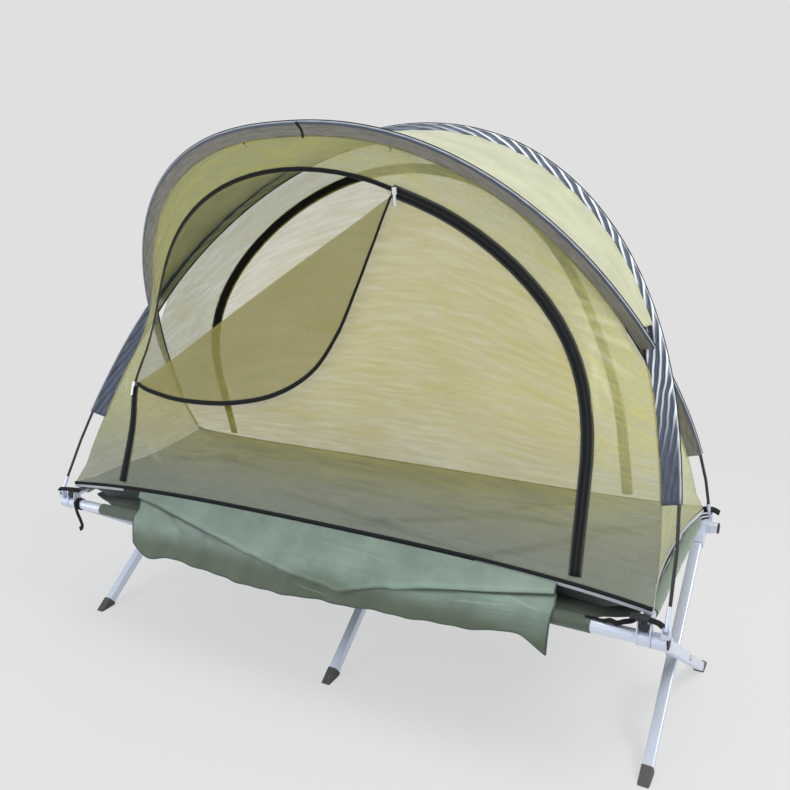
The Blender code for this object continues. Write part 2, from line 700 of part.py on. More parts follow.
# roof between the hoops' upper arches
rear_arch = hoop_line(REAR_HOOP, REAR_CROSS + 0.055, REAR_CROSS + 0.055, 60)
front_arch = hoop_line(FRONT_HOOP, FRONT_CROSS + 0.055, FRONT_CROSS + 0.055, 60)
top_edge = moved_toward(rear_arch, front_arch)
low_edge = moved_toward(front_arch, rear_arch)
left_end = np.array([low_edge[0], top_edge[0]])
right_end = np.array([low_edge[-1], top_edge[-1]])
roof = patch(low_edge, top_edge, left_end, right_end, 25, 5, 3)
finish(put(cloth("roof", roof), parent=rear_hoop_axis), PALE, 0.0, 0.9)

# end walls between the hoops' legs
for side, end in (("left", -1), ("right", 1)):
    front_leg = hoop_leg(REAR_HOOP, end, 0.030, REAR_CROSS - 0.060, 24)
    rear_leg = hoop_leg(FRONT_HOOP, end, 0.030, FRONT_CROSS - 0.060, 24)
    front_edge = moved_toward(front_leg, rear_leg, 0.010)
    rear_edge = moved_toward(rear_leg, front_leg, 0.010)
    bottom = np.linspace(front_edge[0], rear_edge[0], 9)
    top = np.linspace(front_edge[-1], rear_edge[-1], 3)
    grid = patch(bottom, top, front_edge, rear_edge, 7, 9, 8)
    finish(put(cloth(f"end_wall_{side}", grid), parent=rear_hoop_axis), PALE, 0.0, 0.9)

# the folded-down door corner, hanging outside the wall from the fold line
HANGING_EDGE = [
    (-0.670, 0.758), (-0.60, 0.748), (-0.48, 0.745), (-0.34, 0.755), (-0.20, 0.776), (-0.07, 0.820),
    (0.035, 0.898), (0.105, 1.003), (0.165, 1.118), (0.213, 1.220), (0.243, 1.281),
]
low, high = np.array(DOOR_LOW), np.array(DOOR_HIGH)
grid = []
for v in np.linspace(0.03, 1, 7):
    line = []
    for k, hung in enumerate(HANGING_EDGE):
        u = k / (len(HANGING_EDGE) - 1)
        fold = low + (high - low) * (0.03 + 0.94 * u)
        x, z = fold + (np.array(hung) - fold) * v + np.array([0.0, -0.010])
        point, _ = on_surface(front_surface, x, z, -1, 0.0072 + 0.012 * v * math.sin(math.pi * u))
        line.append(point)
    grid.append(line)
finish(put(cloth("door_flap", np.array(grid)), parent=rear_hoop_axis), OLIVE, 0.0, 0.9)

# storm apron from the tub's seam over the front rail
columns = 21
grid = []
for u in np.linspace(-1, 1, columns):
    x = 0.015 + 0.65 * u
    seam = binding(x, -1)
    wave = 0.004 * math.sin(9.0 * u) + 0.003 * math.sin(23.0 * u + 1.0)
    low_x = 0.064 + 0.594 * u
    low_z = 0.290 + 0.026 * u + 0.006 * math.cos(7.0 * u)
    over = RAIL_Z + RAIL_R
    drop = [
        (x, seam[1] - 0.004, seam[2] - 0.006),
        (x, -0.268, over + 0.028),
        (x, -0.294, over + 0.009),
        (x, -0.3145, over - 0.001),
        (x, -0.3235 + 0.2 * wave, over - 0.018),
        (0.6 * x + 0.4 * low_x, -0.327 + 0.6 * wave, 0.5 * (over - 0.018) + 0.5 * low_z),
        (low_x, -0.330 + wave, low_z),
    ]
    grid.append(drop)
finish(cloth("storm_apron", np.array(grid).transpose(1, 0, 2)), GREEN, 0.0, 0.9)


def slider(name, x, z, owner):
    """A zip slider with its pull tab, standing off the zip's face."""
    point, normal = on_surface(front_surface, x, z, -1, 0.0100)
    body = rounded(box(name, (0.011, 0.0046, 0.016)), 0.0012)
    tab = box(name + "_tab", (0.007, 0.0016, 0.030), (0, -0.0022, -0.018))
    lean = math.atan2(-normal.z, -normal.y)
    put(body, point, (lean, 0, 0), owner)
    put(tab, point, (lean, 0, 0), owner)
    finish(join(body, tab), ZINC, 0.8, 0.3)


slider_low_axis = joint_empty("slider_low_axis", (DOOR_LOW[0], -0.16, DOOR_LOW[1]), rear_hoop_axis)
slider_top_axis = joint_empty("slider_top_axis", (0.10, -0.16, 0.86), rear_hoop_axis)
slider("slider_low", DOOR_LOW[0], DOOR_LOW[1] + 0.004, slider_low_axis)
slider("slider_top", DOOR_HIGH[0] + 0.012, DOOR_HIGH[1] + 0.012, slider_top_axis)

# side-release buckle strapped on the right end bar's front end
BUCKLE = (0.868, BAR_HINGE_Y, BAR_Z + BAR_R + 0.0042)
bar_axis = parts.objects["end_bar_axis_right"]
body = rounded(box("buckle_body", (0.030, 0.021, 0.0076)), 0.0015)
mouth = box("buckle_mouth", (0.024, 0.0152, 0.0046), (-0.006, 0, 0))
put(body, BUCKLE, parent=bar_axis)
put(mouth, BUCKLE, parent=bar_axis)
finish(cut(body, mouth), BLACK, 0.0, 0.4)
tongue_axis = joint_empty("buckle_tongue_axis", BUCKLE, bar_axis)
tongue = box("buckle_tongue", (0.014, 0.0140, 0.0034), (-0.0098, 0, 0))
grip = box("buckle_tongue_grip", (0.009, 0.019, 0.0060), (-0.0202, 0, 0))
put(tongue, BUCKLE, parent=tongue_axis)
put(grip, BUCKLE, parent=tongue_axis)
finish(join(tongue, grip), BLACK, 0.0, 0.4)

# the floor plan's middle goes onto the origin
for obj in [*parts.objects, *cutters.objects]:
    if obj.parent is None:
        obj.location.y -= CENTRE_Y
bpy.context.view_layer.update()
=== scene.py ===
"""Tent cot: the cloth, zips, straps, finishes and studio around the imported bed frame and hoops.

X runs along the bed, Y across it (the door side at minus Y), Z up from the floor. All sizes are in metres.
"""

import json
import math

import bmesh
import bpy
import numpy as np
from bpy.props import FloatProperty, FloatVectorProperty, IntProperty, PointerProperty
from bpy.types import NodeSocket, Operator, Panel, PropertyGroup
from mathutils import Matrix, Vector

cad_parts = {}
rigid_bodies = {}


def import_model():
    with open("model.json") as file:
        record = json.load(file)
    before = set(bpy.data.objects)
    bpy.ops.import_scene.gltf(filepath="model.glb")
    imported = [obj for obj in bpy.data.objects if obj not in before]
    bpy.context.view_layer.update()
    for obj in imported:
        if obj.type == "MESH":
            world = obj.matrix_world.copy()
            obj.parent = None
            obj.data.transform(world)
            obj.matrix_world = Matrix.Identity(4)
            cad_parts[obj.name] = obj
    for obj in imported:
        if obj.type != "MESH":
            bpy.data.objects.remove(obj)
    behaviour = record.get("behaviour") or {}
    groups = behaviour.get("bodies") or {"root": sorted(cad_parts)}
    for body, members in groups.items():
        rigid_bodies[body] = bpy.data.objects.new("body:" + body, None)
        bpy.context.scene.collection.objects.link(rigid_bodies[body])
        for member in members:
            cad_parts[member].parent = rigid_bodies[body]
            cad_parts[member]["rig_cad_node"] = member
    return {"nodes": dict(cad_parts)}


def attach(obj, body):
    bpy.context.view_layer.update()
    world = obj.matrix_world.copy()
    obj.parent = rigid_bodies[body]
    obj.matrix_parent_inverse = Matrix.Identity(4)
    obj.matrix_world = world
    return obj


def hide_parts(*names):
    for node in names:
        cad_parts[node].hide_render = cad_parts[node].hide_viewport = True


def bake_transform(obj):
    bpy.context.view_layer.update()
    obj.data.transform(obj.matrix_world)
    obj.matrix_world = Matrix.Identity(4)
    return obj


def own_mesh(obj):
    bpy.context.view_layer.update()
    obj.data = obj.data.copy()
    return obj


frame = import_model()

bl_info = {
    "name": "Tent Cot",
    "version": (1, 0, 0),
    "blender": (4, 5, 0),
    "location": "View3D > Sidebar > Tent Cot",
    "description": "Sews the tent, bed canvas, zips and straps onto the tent cot's frame and lights it",
    "category": "Object",
}

# frame: the same driving sizes as the metalwork
CENTRE_Y = 0.021
RAIL_Y = 0.300
RAIL_Z = 0.395
RAIL_R = 0.015
BAR_X = 0.874
BAR_R = 0.012
BAR_Z = 0.427
BAR_FRONT_Y = -0.3325
HOOP_FOOT_Y = 0.305
HOOP_FOOT_Z = 0.430
HOOP_STRAIGHT = 0.05
REAR_HOOP = {"x": 0.918, "lean": 33.6, "reach": 1.2305, "n": 1.985, "m": 2.045, "side": -1, "sleeve": 0.26}
FRONT_HOOP = {"x": 0.896, "lean": 28.0, "reach": 1.1790, "n": 2.32, "m": 1.840, "side": 1, "sleeve": 0.235}
CROSS_RISE = 2 * HOOP_FOOT_Y / sum(math.tan(math.radians(hoop["lean"])) for hoop in (REAR_HOOP, FRONT_HOOP))
SIDES = (("left", -1), ("right", 1))

# cloth: the tub's seam, the walls' edges, the sleeves, the tub, the canvas, the zips and the open door
SEAM_HALF = 0.884
SEAM_Z = 0.466
SEAM_SPAN = 0.885
SEAM_OFF = 0.236
SEAM_FLARE = 0.045
SEAM_DIP = 0.012
SEAM_ALLOWANCE = 0.004
END_TUCK = 0.030
LEG_SEAM_FROM = 0.10
LEG_SHORT_OF_CROSSING = 0.035
WALL_PAST_CROSSING = 0.045
ROOF_PAST_CROSSING = 0.055
WALL_GRID = (31, 18)
SLEEVE_STEPS = 220
SLEEVE_CLEARANCE = 0.0056
REAR_SLEEVE_RISE = 0.019
TUB_RISE = 0.0195
TUB_END_RISE = 0.0395
CANVAS_HALF = 0.846
CANVAS_NOTCH = 0.090
POCKET_ENDS = (-0.271, 0.229)
FRONT_ZIP = {"half": 0.700, "top": 1.365, "knee": 0.66}
REAR_ZIP = {"half": 0.685, "top": 1.350, "knee": 0.62}
DOOR_LOW = (-0.696, 0.752)
DOOR_HIGH = (0.262, 1.302)
SLIDER_PULLS = (((-0.696, 0.756), 0.0198), ((0.274, 1.314), 0.0142))
DOOR_MIDDLE = Vector((-0.22, 1.02))
DOOR_MARGIN = 0.003
CUTTER_FRONT = -0.60
CUTTER_DEPTH = 0.72
NET_THREAD = 0.0023
WELD = 0.00002

# camera, at the photograph's place
CAMERA_AT = (1.21600, -1.88811, 1.39144)
CAMERA_AZIMUTH = math.radians(30.3923)
CAMERA_ELEVATION = math.radians(16.1406)
CAMERA_ROLL = math.radians(-2.7501)
CAMERA_LENS = 37.898

# studio: its grey, and each lamp's name, place, watts, width and colour
STUDIO_GREY = (0.745, 0.745, 0.745, 1.0)
LAMPS_AIM = Vector((0, 0, 0.7))
LAMPS = (
    ("key_lamp", (2.8, -0.3, 3.3), 90.0, 1.6, (1.0, 0.98, 0.94)),
    ("fill_lamp", (-2.4, -3.4, 2.4), 56.0, 3.0, (0.90, 0.94, 1.0)),
    ("top_lamp", (-0.5, 0.6, 4.2), 34.0, 3.0, (1.0, 1.0, 1.0)),
)

# the folds below are given as from, to, width and height, or how light (+) or dark (-) they show

# in the net beside the door zips, in (x, z) of the front wall, and mirrored on the rear wall
WALL_CREASES = (
    ((0.600, 1.070), (0.725, 1.035), 0.008, 0.0025), ((0.622, 1.040), (0.765, 0.980), 0.009, 0.0035),
    ((0.634, 1.012), (0.785, 0.925), 0.009, 0.0035), ((0.650, 0.985), (0.770, 0.870), 0.009, 0.0035),
    ((0.665, 0.955), (0.740, 0.820), 0.009, 0.0035), ((0.682, 0.915), (0.712, 0.790), 0.008, 0.0030),
    ((0.470, 1.110), (0.584, 0.960), 0.009, 0.0012), ((0.510, 1.080), (0.612, 0.910), 0.009, 0.0012),
    ((-0.780, 0.800), (-0.725, 0.640), 0.009, 0.0030), ((-0.640, 0.620), (-0.560, 0.540), 0.011, 0.0030),
)
# in the tub's floor, in (u, v): soft folds, and lines of shade where it has been folded flat
TUB_CREASES = (
    ((0.02, 0.30), (0.42, 0.36), 0.010, 0.007), ((0.10, 0.42), (0.55, 0.30), 0.008, 0.006),
    ((0.30, 0.52), (0.78, 0.40), 0.009, 0.007), ((0.50, 0.30), (0.93, 0.36), 0.010, 0.008),
    ((0.56, 0.58), (0.96, 0.62), 0.010, 0.007), ((0.04, 0.66), (0.30, 0.60), 0.012, 0.010),
    ((0.03, 0.56), (0.22, 0.70), 0.010, 0.009), ((0.60, 0.70), (0.98, 0.74), 0.010, 0.006),
)
TUB_LINES = (
    ((0.50, 0.40), (0.715, 0.577), 0.014, 1.0), ((0.70, 0.56), (0.840, 0.900), 0.014, 1.0),
    ((0.66, 0.27), (0.846, 0.530), 0.014, 1.0), ((0.83, 0.51), (0.955, 0.690), 0.014, 1.0),
    ((0.10, 0.30), (0.360, 0.240), 0.012, 0.7), ((0.28, 0.62), (0.560, 0.560), 0.012, 0.6),
)
# in the apron, in (u, v)
APRON_CREASES = (
    ((0.03, 0.06), (0.16, 0.50), 0.012, -0.55), ((0.10, 0.30), (0.30, 0.40), 0.010, 0.40),
    ((0.36, 0.62), (0.48, 0.90), 0.010, -0.45), ((0.42, 0.78), (0.56, 0.95), 0.008, 0.60),
    ((0.44, 0.12), (0.72, 0.22), 0.012, -0.35), ((0.46, 0.17), (0.74, 0.27), 0.010, 0.35),
    ((0.66, 0.58), (0.80, 0.93), 0.010, -0.40), ((0.80, 0.52), (0.95, 0.40), 0.010, 0.65),
    ((0.83, 0.60), (0.97, 0.46), 0.009, -0.50), ((0.90, 0.30), (0.99, 0.42), 0.008, 0.70),
)

# the apron's long fold in (u, v), and its hem in (x, z)
APRON_FOLD = (
    (0.0, 0.10), (0.27, 0.43), (0.50, 0.72), (0.57, 0.79), (0.67, 0.56), (0.76, 0.42), (1.0, 0.16),
)
APRON_HEM = (
    (-0.600, 0.330), (-0.572, 0.302), (-0.530, 0.294), (-0.441, 0.308), (-0.294, 0.291), (-0.136, 0.288),
    (0.014, 0.297), (0.138, 0.302), (0.298, 0.317), (0.485, 0.331), (0.585, 0.345), (0.630, 0.336),
    (0.668, 0.312),
)
# the folded-down door corner's free edge, hanging outside the wall, in (x, z)
HANGING_EDGE = (
    (-0.682, 0.762), (-0.62, 0.748), (-0.52, 0.740), (-0.40, 0.745), (-0.26, 0.762), (-0.11, 0.802),
    (0.010, 0.872), (0.090, 0.972), (0.150, 1.085), (0.205, 1.196), (0.264, 1.303),
)
# each strap's name, body, width or widths, the way it faces, and path
STRAPS = (
    ("strap_rail_right", "front_frame", (0.006, 0.007, 0.012, 0.014, 0.014), (0, -0.35, 0.94), (
        (0.746, -0.320, 0.4125), (0.765, -0.321, 0.4145), (0.784, -0.321, 0.4130), (0.800, -0.322, 0.4185),
        (0.815, -0.322, 0.4155), (0.830, -0.322, 0.4225), (0.846, -0.324, 0.4300), (0.856, -0.324, 0.4385))),
    ("strap_tab_right", "end_bar_right", 0.015, (0, -0.2, 0.98), (
        (0.880, -0.324, 0.4425), (0.890, -0.326, 0.442), (0.903, -0.328, 0.4405), (0.913, -0.331, 0.436))),
    ("strap_tab_left", "end_bar_left", 0.017, (0, -0.25, 0.97), (
        (-0.840, -0.322, 0.4405), (-0.862, -0.325, 0.4425), (-0.884, -0.328, 0.4420),
        (-0.906, -0.331, 0.4405), (-0.922, -0.336, 0.4400))),
    ("strap_tail_left", "front_frame", 0.013, (0, -1, 0.1), (
        (-0.852, -0.3395, 0.408), (-0.850, -0.3405, 0.390), (-0.846, -0.341, 0.372), (-0.838, -0.341, 0.352),
        (-0.835, -0.340, 0.334), (-0.843, -0.339, 0.322), (-0.852, -0.338, 0.318))),
    ("strap_rear_right", "rear_frame", 0.016, (0.5, -0.5, 0.7), (
        (0.862, 0.240, 0.438), (0.872, 0.262, 0.444), (0.890, 0.276, 0.446), (0.908, 0.283, 0.444),
        (0.922, 0.286, 0.436))),
    ("strap_rear_pad", "rear_frame", 0.020, (0.6, -0.6, 0.5), (
        (0.870, 0.228, 0.431), (0.885, 0.240, 0.437), (0.898, 0.254, 0.437))),
    ("strap_rear_left", "rear_frame", 0.016, (-0.5, -0.5, 0.7), (
        (-0.862, 0.240, 0.438), (-0.872, 0.262, 0.444), (-0.890, 0.276, 0.446), (-0.908, 0.283, 0.444))),
)


def length(name, description, default):
    """A length that the sidebar shows."""
    return FloatProperty(name=name, description=description, default=default, unit="LENGTH")


def whole(name, description, default):
    """A whole number that the sidebar shows."""
    return IntProperty(name=name, description=description, default=default)


def tint(name, description, default):
    """A colour that the sidebar shows, in linear light."""
    return FloatVectorProperty(name=name, description=description, default=default, subtype="COLOR")


class TentCotSizes(PropertyGroup):
    """The sizes of the sewn parts that a user would change."""

    rear_sleeve: length("Rear sleeve", "Flat width of the rear hoop's sleeve", 0.052)
    brow_sleeve: length("Brow sleeve", "Flat width of the front hoop's sleeve", 0.039)
    zip_width: length("Zip width", "Width of the door zips' tape", 0.026)
    seam_width: length("Seam tape width", "Width of the tape between tub and walls", 0.009)
    net_thickness: length("Net thickness", "Thickness of the mosquito net", 0.0005)
    cloth_thickness: length("Cloth thickness", "Thickness of the roof, tub and canvas", 0.0009)
    columns: whole("Columns", "How finely the walls are divided along the bed", 230)
    rows: whole("Rows", "How finely the walls are divided upwards", 116)


class TentCotColours(PropertyGroup):
    """The colours of the tent cot's cloth and metal."""

    net: tint("Net", "Mosquito net of the walls and door", (0.44, 0.375, 0.040))
    surround: tint("Net surround", "Net of the walls outside the door zips", (0.47, 0.475, 0.235))
    roof_top: tint("Roof, outside", "Sunlit face of the roof", (0.47, 0.485, 0.315))
    # painted light, in part: the cloth's olive with the yellow of light shining through the roof
    roof_under_lit_through: tint("Roof, inside", "Underside of the roof", (0.50, 0.50, 0.24))
    # painted light, in part: the walls' net made brighter for the sunlit look of the end walls
    end_wall: tint("End wall", "Cloth of the end walls", (0.60, 0.60, 0.30))
    sleeve: tint("Sleeve", "Slate nylon of the pole sleeves", (0.045, 0.060, 0.095))
    sleeve_grey: tint("Sleeve lining", "Grey face of the brow sleeve", (0.190, 0.180, 0.150))
    # painted shade, in part: the canvas's dark green made darker for the shade the bed lies in
    canvas: tint("Canvas", "Bed canvas, rail sleeves and pockets", (0.060, 0.085, 0.058))
    apron: tint("Apron", "Storm apron and tub", (0.215, 0.300, 0.245))
    tape: tint("Tape", "Zip tapes, webbing and seam tape", (0.006, 0.0065, 0.008))
    # painted reflection, in part: the bluish tint stands in for the sky that the bare metal reflects
    aluminium: tint("Aluminium", "Tubes, legs and ferrules", (0.72, 0.77, 0.90))
    plastic: tint("Plastic", "Plugs, hinges and buckle", (0.016, 0.017, 0.022))


class Field:
    """A value that changes over a surface. Arithmetic on fields adds Math nodes."""

    def __init__(self, nodes, socket):
        self.nodes = nodes
        self.socket = socket

    def math(self, operation, *others):
        return self.nodes.field("ShaderNodeMath", {"operation": operation}, [self, *others])

    def reflected(self, operation, other):
        """The same sum with this field last, as in 1 - mask."""
        return self.nodes.field("ShaderNodeMath", {"operation": operation}, [other, self])

    def __add__(self, other):
        return self.math("ADD", other)

    def __sub__(self, other):
        return self.math("SUBTRACT", other)

    def __rsub__(self, other):
        return self.reflected("SUBTRACT", other)

    def __mul__(self, other):
        return self.math("MULTIPLY", other)

    def __truediv__(self, other):
        return self.math("DIVIDE", other)

    def __rtruediv__(self, other):
        return self.reflected("DIVIDE", other)

    def __pow__(self, other):
        return self.math("POWER", other)

    def __rpow__(self, other):
        return self.reflected("POWER", other)

    __radd__ = __add__
    __rmul__ = __mul__

    def wave(self, pitch):
        """A sine that comes round once in each pitch."""
        return (self * (math.tau / pitch)).math("SINE")

    def step(self, low, high):
        """0 below low and 1 above high, with a smooth rise between."""
        settings = {"interpolation_type": "SMOOTHSTEP"}
        return self.nodes.field("ShaderNodeMapRange", settings, [self, low, high, 0.0, 1.0])


class Nodes:
    """A node tree that Python expressions add to."""

    def __init__(self, tree):
        self.tree = tree

    def node(self, kind, settings, inputs):
        """A node of this kind, with its settings and its sockets' values or links, in order or by key."""
        made = self.tree.nodes.new(kind)
        for name, value in settings.items():
            setattr(made, name, value)
        for key, value in inputs.items() if isinstance(inputs, dict) else enumerate(inputs):
            source = value.socket if isinstance(value, Field) else value
            if isinstance(source, NodeSocket):
                self.tree.links.new(source, made.inputs[key])
            else:
                made.inputs[key].default_value = source
        return made

    def field(self, kind, settings, inputs, output=0):
        return Field(self, self.node(kind, settings, inputs).outputs[output])


class Paint(Nodes):
    """A material made of nodes around one Principled shader."""

    def __init__(self, name, **constants):
        self.material = bpy.data.materials.new(name)
        self.material.use_nodes = True
        super().__init__(self.material.node_tree)
        self.shader = self.tree.nodes["Principled BSDF"]
        for socket, value in constants.items():
            self.shader.inputs[socket.replace("_", " ").title()].default_value = value

    def fold(self, side):
        """How far a crease's painted highlight (on its crest, 1) or painted shade (-1) shows here."""
        return self.field("ShaderNodeAttribute", {"attribute_name": "fold"}, [], "Fac").step(0.0, side)

    def place(self, source="Object"):
        """Object coordinates or the piece's own UV map, in metres."""
        return self.field("ShaderNodeTexCoord", {}, [], source)

    def axes(self, vector):
        parts = self.node("ShaderNodeSeparateXYZ", {}, [vector])
        return [Field(self, socket) for socket in parts.outputs]

    def noise(self, vector, scale, detail=2.0, rough=0.5, turn=(0.0, 0.0, 0.0)):
        """Noise at one scale, or at a scale for each axis, which may be turned."""
        if isinstance(scale, (list, tuple)):
            inputs = {"Vector": vector, "Rotation": turn, "Scale": scale}
            vector, scale = self.field("ShaderNodeMapping", {}, inputs), 1.0
        inputs = {"Vector": vector, "Scale": scale, "Detail": detail, "Roughness": rough}
        return self.field("ShaderNodeTexNoise", {}, inputs)

    def mix(self, share, first, second):
        """A colour between two, by a share from 0 to 1."""
        colours = [c if isinstance(c, Field) else (*c[:3], 1.0) for c in (first, second)]
        inputs = {0: share, 6: colours[0], 7: colours[1]}
        return self.field("ShaderNodeMix", {"data_type": "RGBA"}, inputs, 2)

    def layered(self, colour, *layers):
        """A colour with others laid over it, each by its share."""
        for share, layer in layers:
            colour = self.mix(share, colour, layer)
        return colour

    def finished(self, height, distance, strength, **values):
        """The material, with the relief and these values linked to its shader."""
        relief = {"Height": height, "Distance": distance, "Strength": strength}
        values["normal"] = self.field("ShaderNodeBump", {}, relief)
        for name, value in values.items():
            self.tree.links.new(value.socket, self.shader.inputs[name.replace("_", " ").title()])
        return self.material


def shaded(colour, factor):
    """A colour made lighter or darker."""
    return tuple(min(1.0, c * factor) for c in colour[:3])


def net_paint(name, colour, opacity, surround=None, arch=None):
    """Fine mosquito net: see-through, finely woven, a little uneven in its tension.

    With an arch, the cloth outside that door zip has its own tone and is a little closer woven.
    """
    paint = Paint(name, roughness=0.8, sheen_weight=0.15, sheen_roughness=0.6)
    cloth = paint.place("UV")
    across, up, _ = paint.axes(cloth)
    thread = across.wave(NET_THREAD) * up.wave(NET_THREAD)
    streak = paint.noise(cloth, (7.0, 52.0, 1.0), 5.0, 0.62)
    broad = paint.noise(cloth, (2.2, 4.5, 1.0), 3.0, 0.55)
    x, _, height = paint.axes(paint.place())
    low, dim, tone, opaque = height.step(0.48, 0.76), shaded(colour, 0.85), colour, opacity
    if arch:
        over = (height - arch["knee"]).math("MAXIMUM", 0.0) / (arch["top"] - arch["knee"])
        wide = x / arch["half"]
        outside = (wide * wide + over * over).step(0.99, 1.03)
        dim = (0.285, 0.305, 0.215)
        tone, opaque = paint.mix(outside, colour, surround), outside * low * 0.12 + opacity
    streaked = paint.mix(streak.step(0.25, 0.78) * 0.5, tone, shaded(colour, 1.45))
    # painted highlight: the net turns pale along the crests of its creases
    crest = paint.fold(1.0)
    even = (streak - 0.5) * 0.44 + (broad - 0.5) * 0.22 + thread * 0.04 + opaque
    return paint.finished(
        thread * 0.15 + streak, 0.0008, 0.35,
        base_color=paint.layered(dim, (low, streaked), (crest * 0.7, (0.80, 0.80, 0.58))),
        alpha=even + crest * 0.16 + paint.fold(-1.0) * 0.10,
    )


def cloth_paint(name, colour, weave=0.0011, gloss=0.72, fold=0.0016, vary=0.18, hem=None):
    """Close-woven nylon or canvas, with slubs, handling creases and a faint shine, and painted highlight and
    shade on its creases and folds.

    With a hem, given as a colour and two heights, the cloth turns to that colour from the first height
    down to the second.
    """
    paint = Paint(name, roughness=gloss, sheen_weight=0.25, sheen_roughness=0.5)
    cloth = paint.place("UV")
    across, up, _ = paint.axes(cloth)
    thread = across.wave(weave) * up.wave(weave)
    slub = paint.noise(cloth, (60.0, 520.0, 1.0), 3.0)
    patch = paint.noise(cloth, 7.0, 4.0, 0.6)
    crease = paint.noise(cloth, (5.0, 16.0, 1.0), 6.0, 0.62, (0.0, 0.0, 0.5))
    tone = paint.mix(patch.step(0.3, 0.72), shaded(colour, 1 - vary), shaded(colour, 1 + vary))
    if hem:
        turned = (paint.axes(paint.place())[2] + patch * 0.05).step(hem[1], hem[2])
        tone = paint.mix(turned, tone, hem[0])
    # painted highlight: lighter along the crease noise and on fold crests; painted shade: much darker in the
    # folds' shade; the darker slubs are the yarn's own
    tone = paint.layered(
        tone, (crease.step(0.60, 0.80) * 0.35, shaded(colour, 1.55)),
        (slub.step(0.35, 0.75) * 0.22, shaded(colour, 0.62)),
        (paint.fold(1.0) * 0.55, shaded(colour, 1.9)), (paint.fold(-1.0) * 0.72, shaded(colour, 0.30)),
    )
    return paint.finished(thread * 0.12 + crease + slub * 0.15, fold, 0.55, base_color=tone,
                          roughness=(patch - 0.5) * 0.22 + gloss)


def satin_paint(name, colour, lining, rim, stripes):
    """Slick pole-sleeve nylon: a dark rim at the pole, long slanting puckers with painted highlights, and a
    painted highlight along the outer edge.

    Stripes is 1 for a sleeve with puckers, their painted highlights and painted light on its inside, and 0
    for one without.
    """
    paint = Paint(name, roughness=0.42, sheen_weight=0.2)
    cloth = paint.place("UV")
    along, around, _ = paint.axes(cloth)
    inner = around.wave(0.2) ** 2.0
    wander = paint.noise(cloth, (6.0, 14.0, 1.0), 2.0)
    pucker = (along / 0.066 - inner * 3.2 + wander * 1.6).wave(1.0)
    fine = paint.noise(cloth, (16.0, 190.0, 1.0), 4.0, 0.6)
    x, _, height = paint.axes(paint.place())
    inside = around.step(0.051, 0.049) * inner.step(0.52, 0.58)
    # painted light: pale green on the inside face, only high up and on the left
    inside_painted_light = inside * height.step(0.88, 0.97) * x.step(0.50, 0.20) * stripes
    # painted highlight: pale blue-white on the puckers high up on the right side, and along each sleeve's
    # outer edge
    lit = pucker.step(0.20, 0.90) * x.step(-0.1, 0.35) * height.step(0.70, 0.90) * stripes
    tone = paint.layered(
        shaded(colour, 0.8), (fine.step(0.25, 0.75), lining), (inner.step(0.30, 0.12), rim),
        (inside_painted_light, (0.46, 0.50, 0.33)), (lit + inner.step(0.10, 0.0) * 0.55, (0.74, 0.79, 0.88)),
        (inner.step(0.90, 0.97) * 0.8, (0.020, 0.017, 0.012)),
    )
    relief = pucker * (0.25 + 0.6 * stripes) + fine * 0.5
    return paint.finished(relief, 0.0020, 0.6, base_color=tone, roughness=fine * 0.25 + 0.30)


def tape_paint(name, colour, rib=0.0021, teeth=False):
    """Woven tape: ribs along its length, or a zip's coil."""
    paint = Paint(name)
    paint.shader.inputs["Specular IOR Level"].default_value = 0.25
    cloth = paint.place("UV")
    along, across, _ = paint.axes(cloth)
    ridges = along.wave(rib) if teeth else across.wave(rib) * 0.7 + along.wave(0.0013) * 0.3
    fuzz, worn = paint.noise(cloth, 180.0, 3.0), paint.noise(cloth, 14.0, 3.0)
    # painted highlight: lighter on the tops of the ribs or coil; lighter also where the tape is worn
    shown = paint.mix(ridges.step(-0.2, 1.0) * 0.3 + worn * 0.2, colour, shaded(colour, 2.6))
    return paint.finished(ridges + fuzz * 0.4, 0.0005, 0.7, base_color=shown,
                          roughness=worn * 0.3 + (0.25 if teeth else 0.60))


def striped_paint(name, colour):
    """Webbing with two woven white lines."""
    paint = Paint(name, roughness=0.7)
    _, across, _ = paint.axes(paint.place("UV"))
    shown = paint.mix(across.wave(0.0085).step(0.2, 0.7), colour, (0.60, 0.61, 0.64))
    return paint.finished(across.wave(0.0017), 0.0004, 0.6, base_color=shown)


def metal_paint(name, colour, axis, roughness=0.30):
    """Drawn aluminium, brushed along one axis, with scuffs and handling marks."""
    paint = Paint(name, metallic=0.62)
    stretch = [260.0, 260.0, 260.0]
    stretch[axis] = 5.0
    brushed = paint.noise(paint.place(), stretch, 4.0, 0.6)
    scuff = paint.noise(paint.place(), 38.0, 5.0, 0.65).step(0.60, 0.74)
    tone = paint.layered(shaded(colour, 0.86), (brushed, shaded(colour, 1.14)),
                         (scuff * 0.35, shaded(colour, 0.55)))
    return paint.finished(brushed, 0.0002, 0.4, base_color=tone,
                          roughness=brushed * 0.16 + scuff * 0.2 + roughness)


def moulded_paint(name, colour, roughness=0.5, grain=900.0):
    """Moulded plastic or rubber with a fine grain and scuffed high spots."""
    paint = Paint(name)
    grit = paint.noise(paint.place(), grain, 3.0, 0.6)
    scuff = paint.noise(paint.place(), 55.0, 5.0, 0.65).step(0.56, 0.75)
    tone = paint.mix(scuff * 0.45, colour, shaded(colour, 4.0))
    rough = grit * 0.2 + scuff * 0.15 + roughness
    return paint.finished(grit, 0.0003, 0.5, base_color=tone, roughness=rough)


def sizes():
    return bpy.context.scene.tent_cot_sizes


def colours():
    return bpy.context.scene.tent_cot_colours


def unit(vectors):
    return vectors / np.linalg.norm(vectors, axis=-1, keepdims=True)


def facing(way, points):
    """The same way for each of the points."""
    return np.tile(unit(np.array(way, float)), (len(points), 1))


def nearest(share, points):
    """The index of the point at this share, from 0 to 1, of a row of points."""
    return np.round(share * (len(points) - 1)).astype(int)


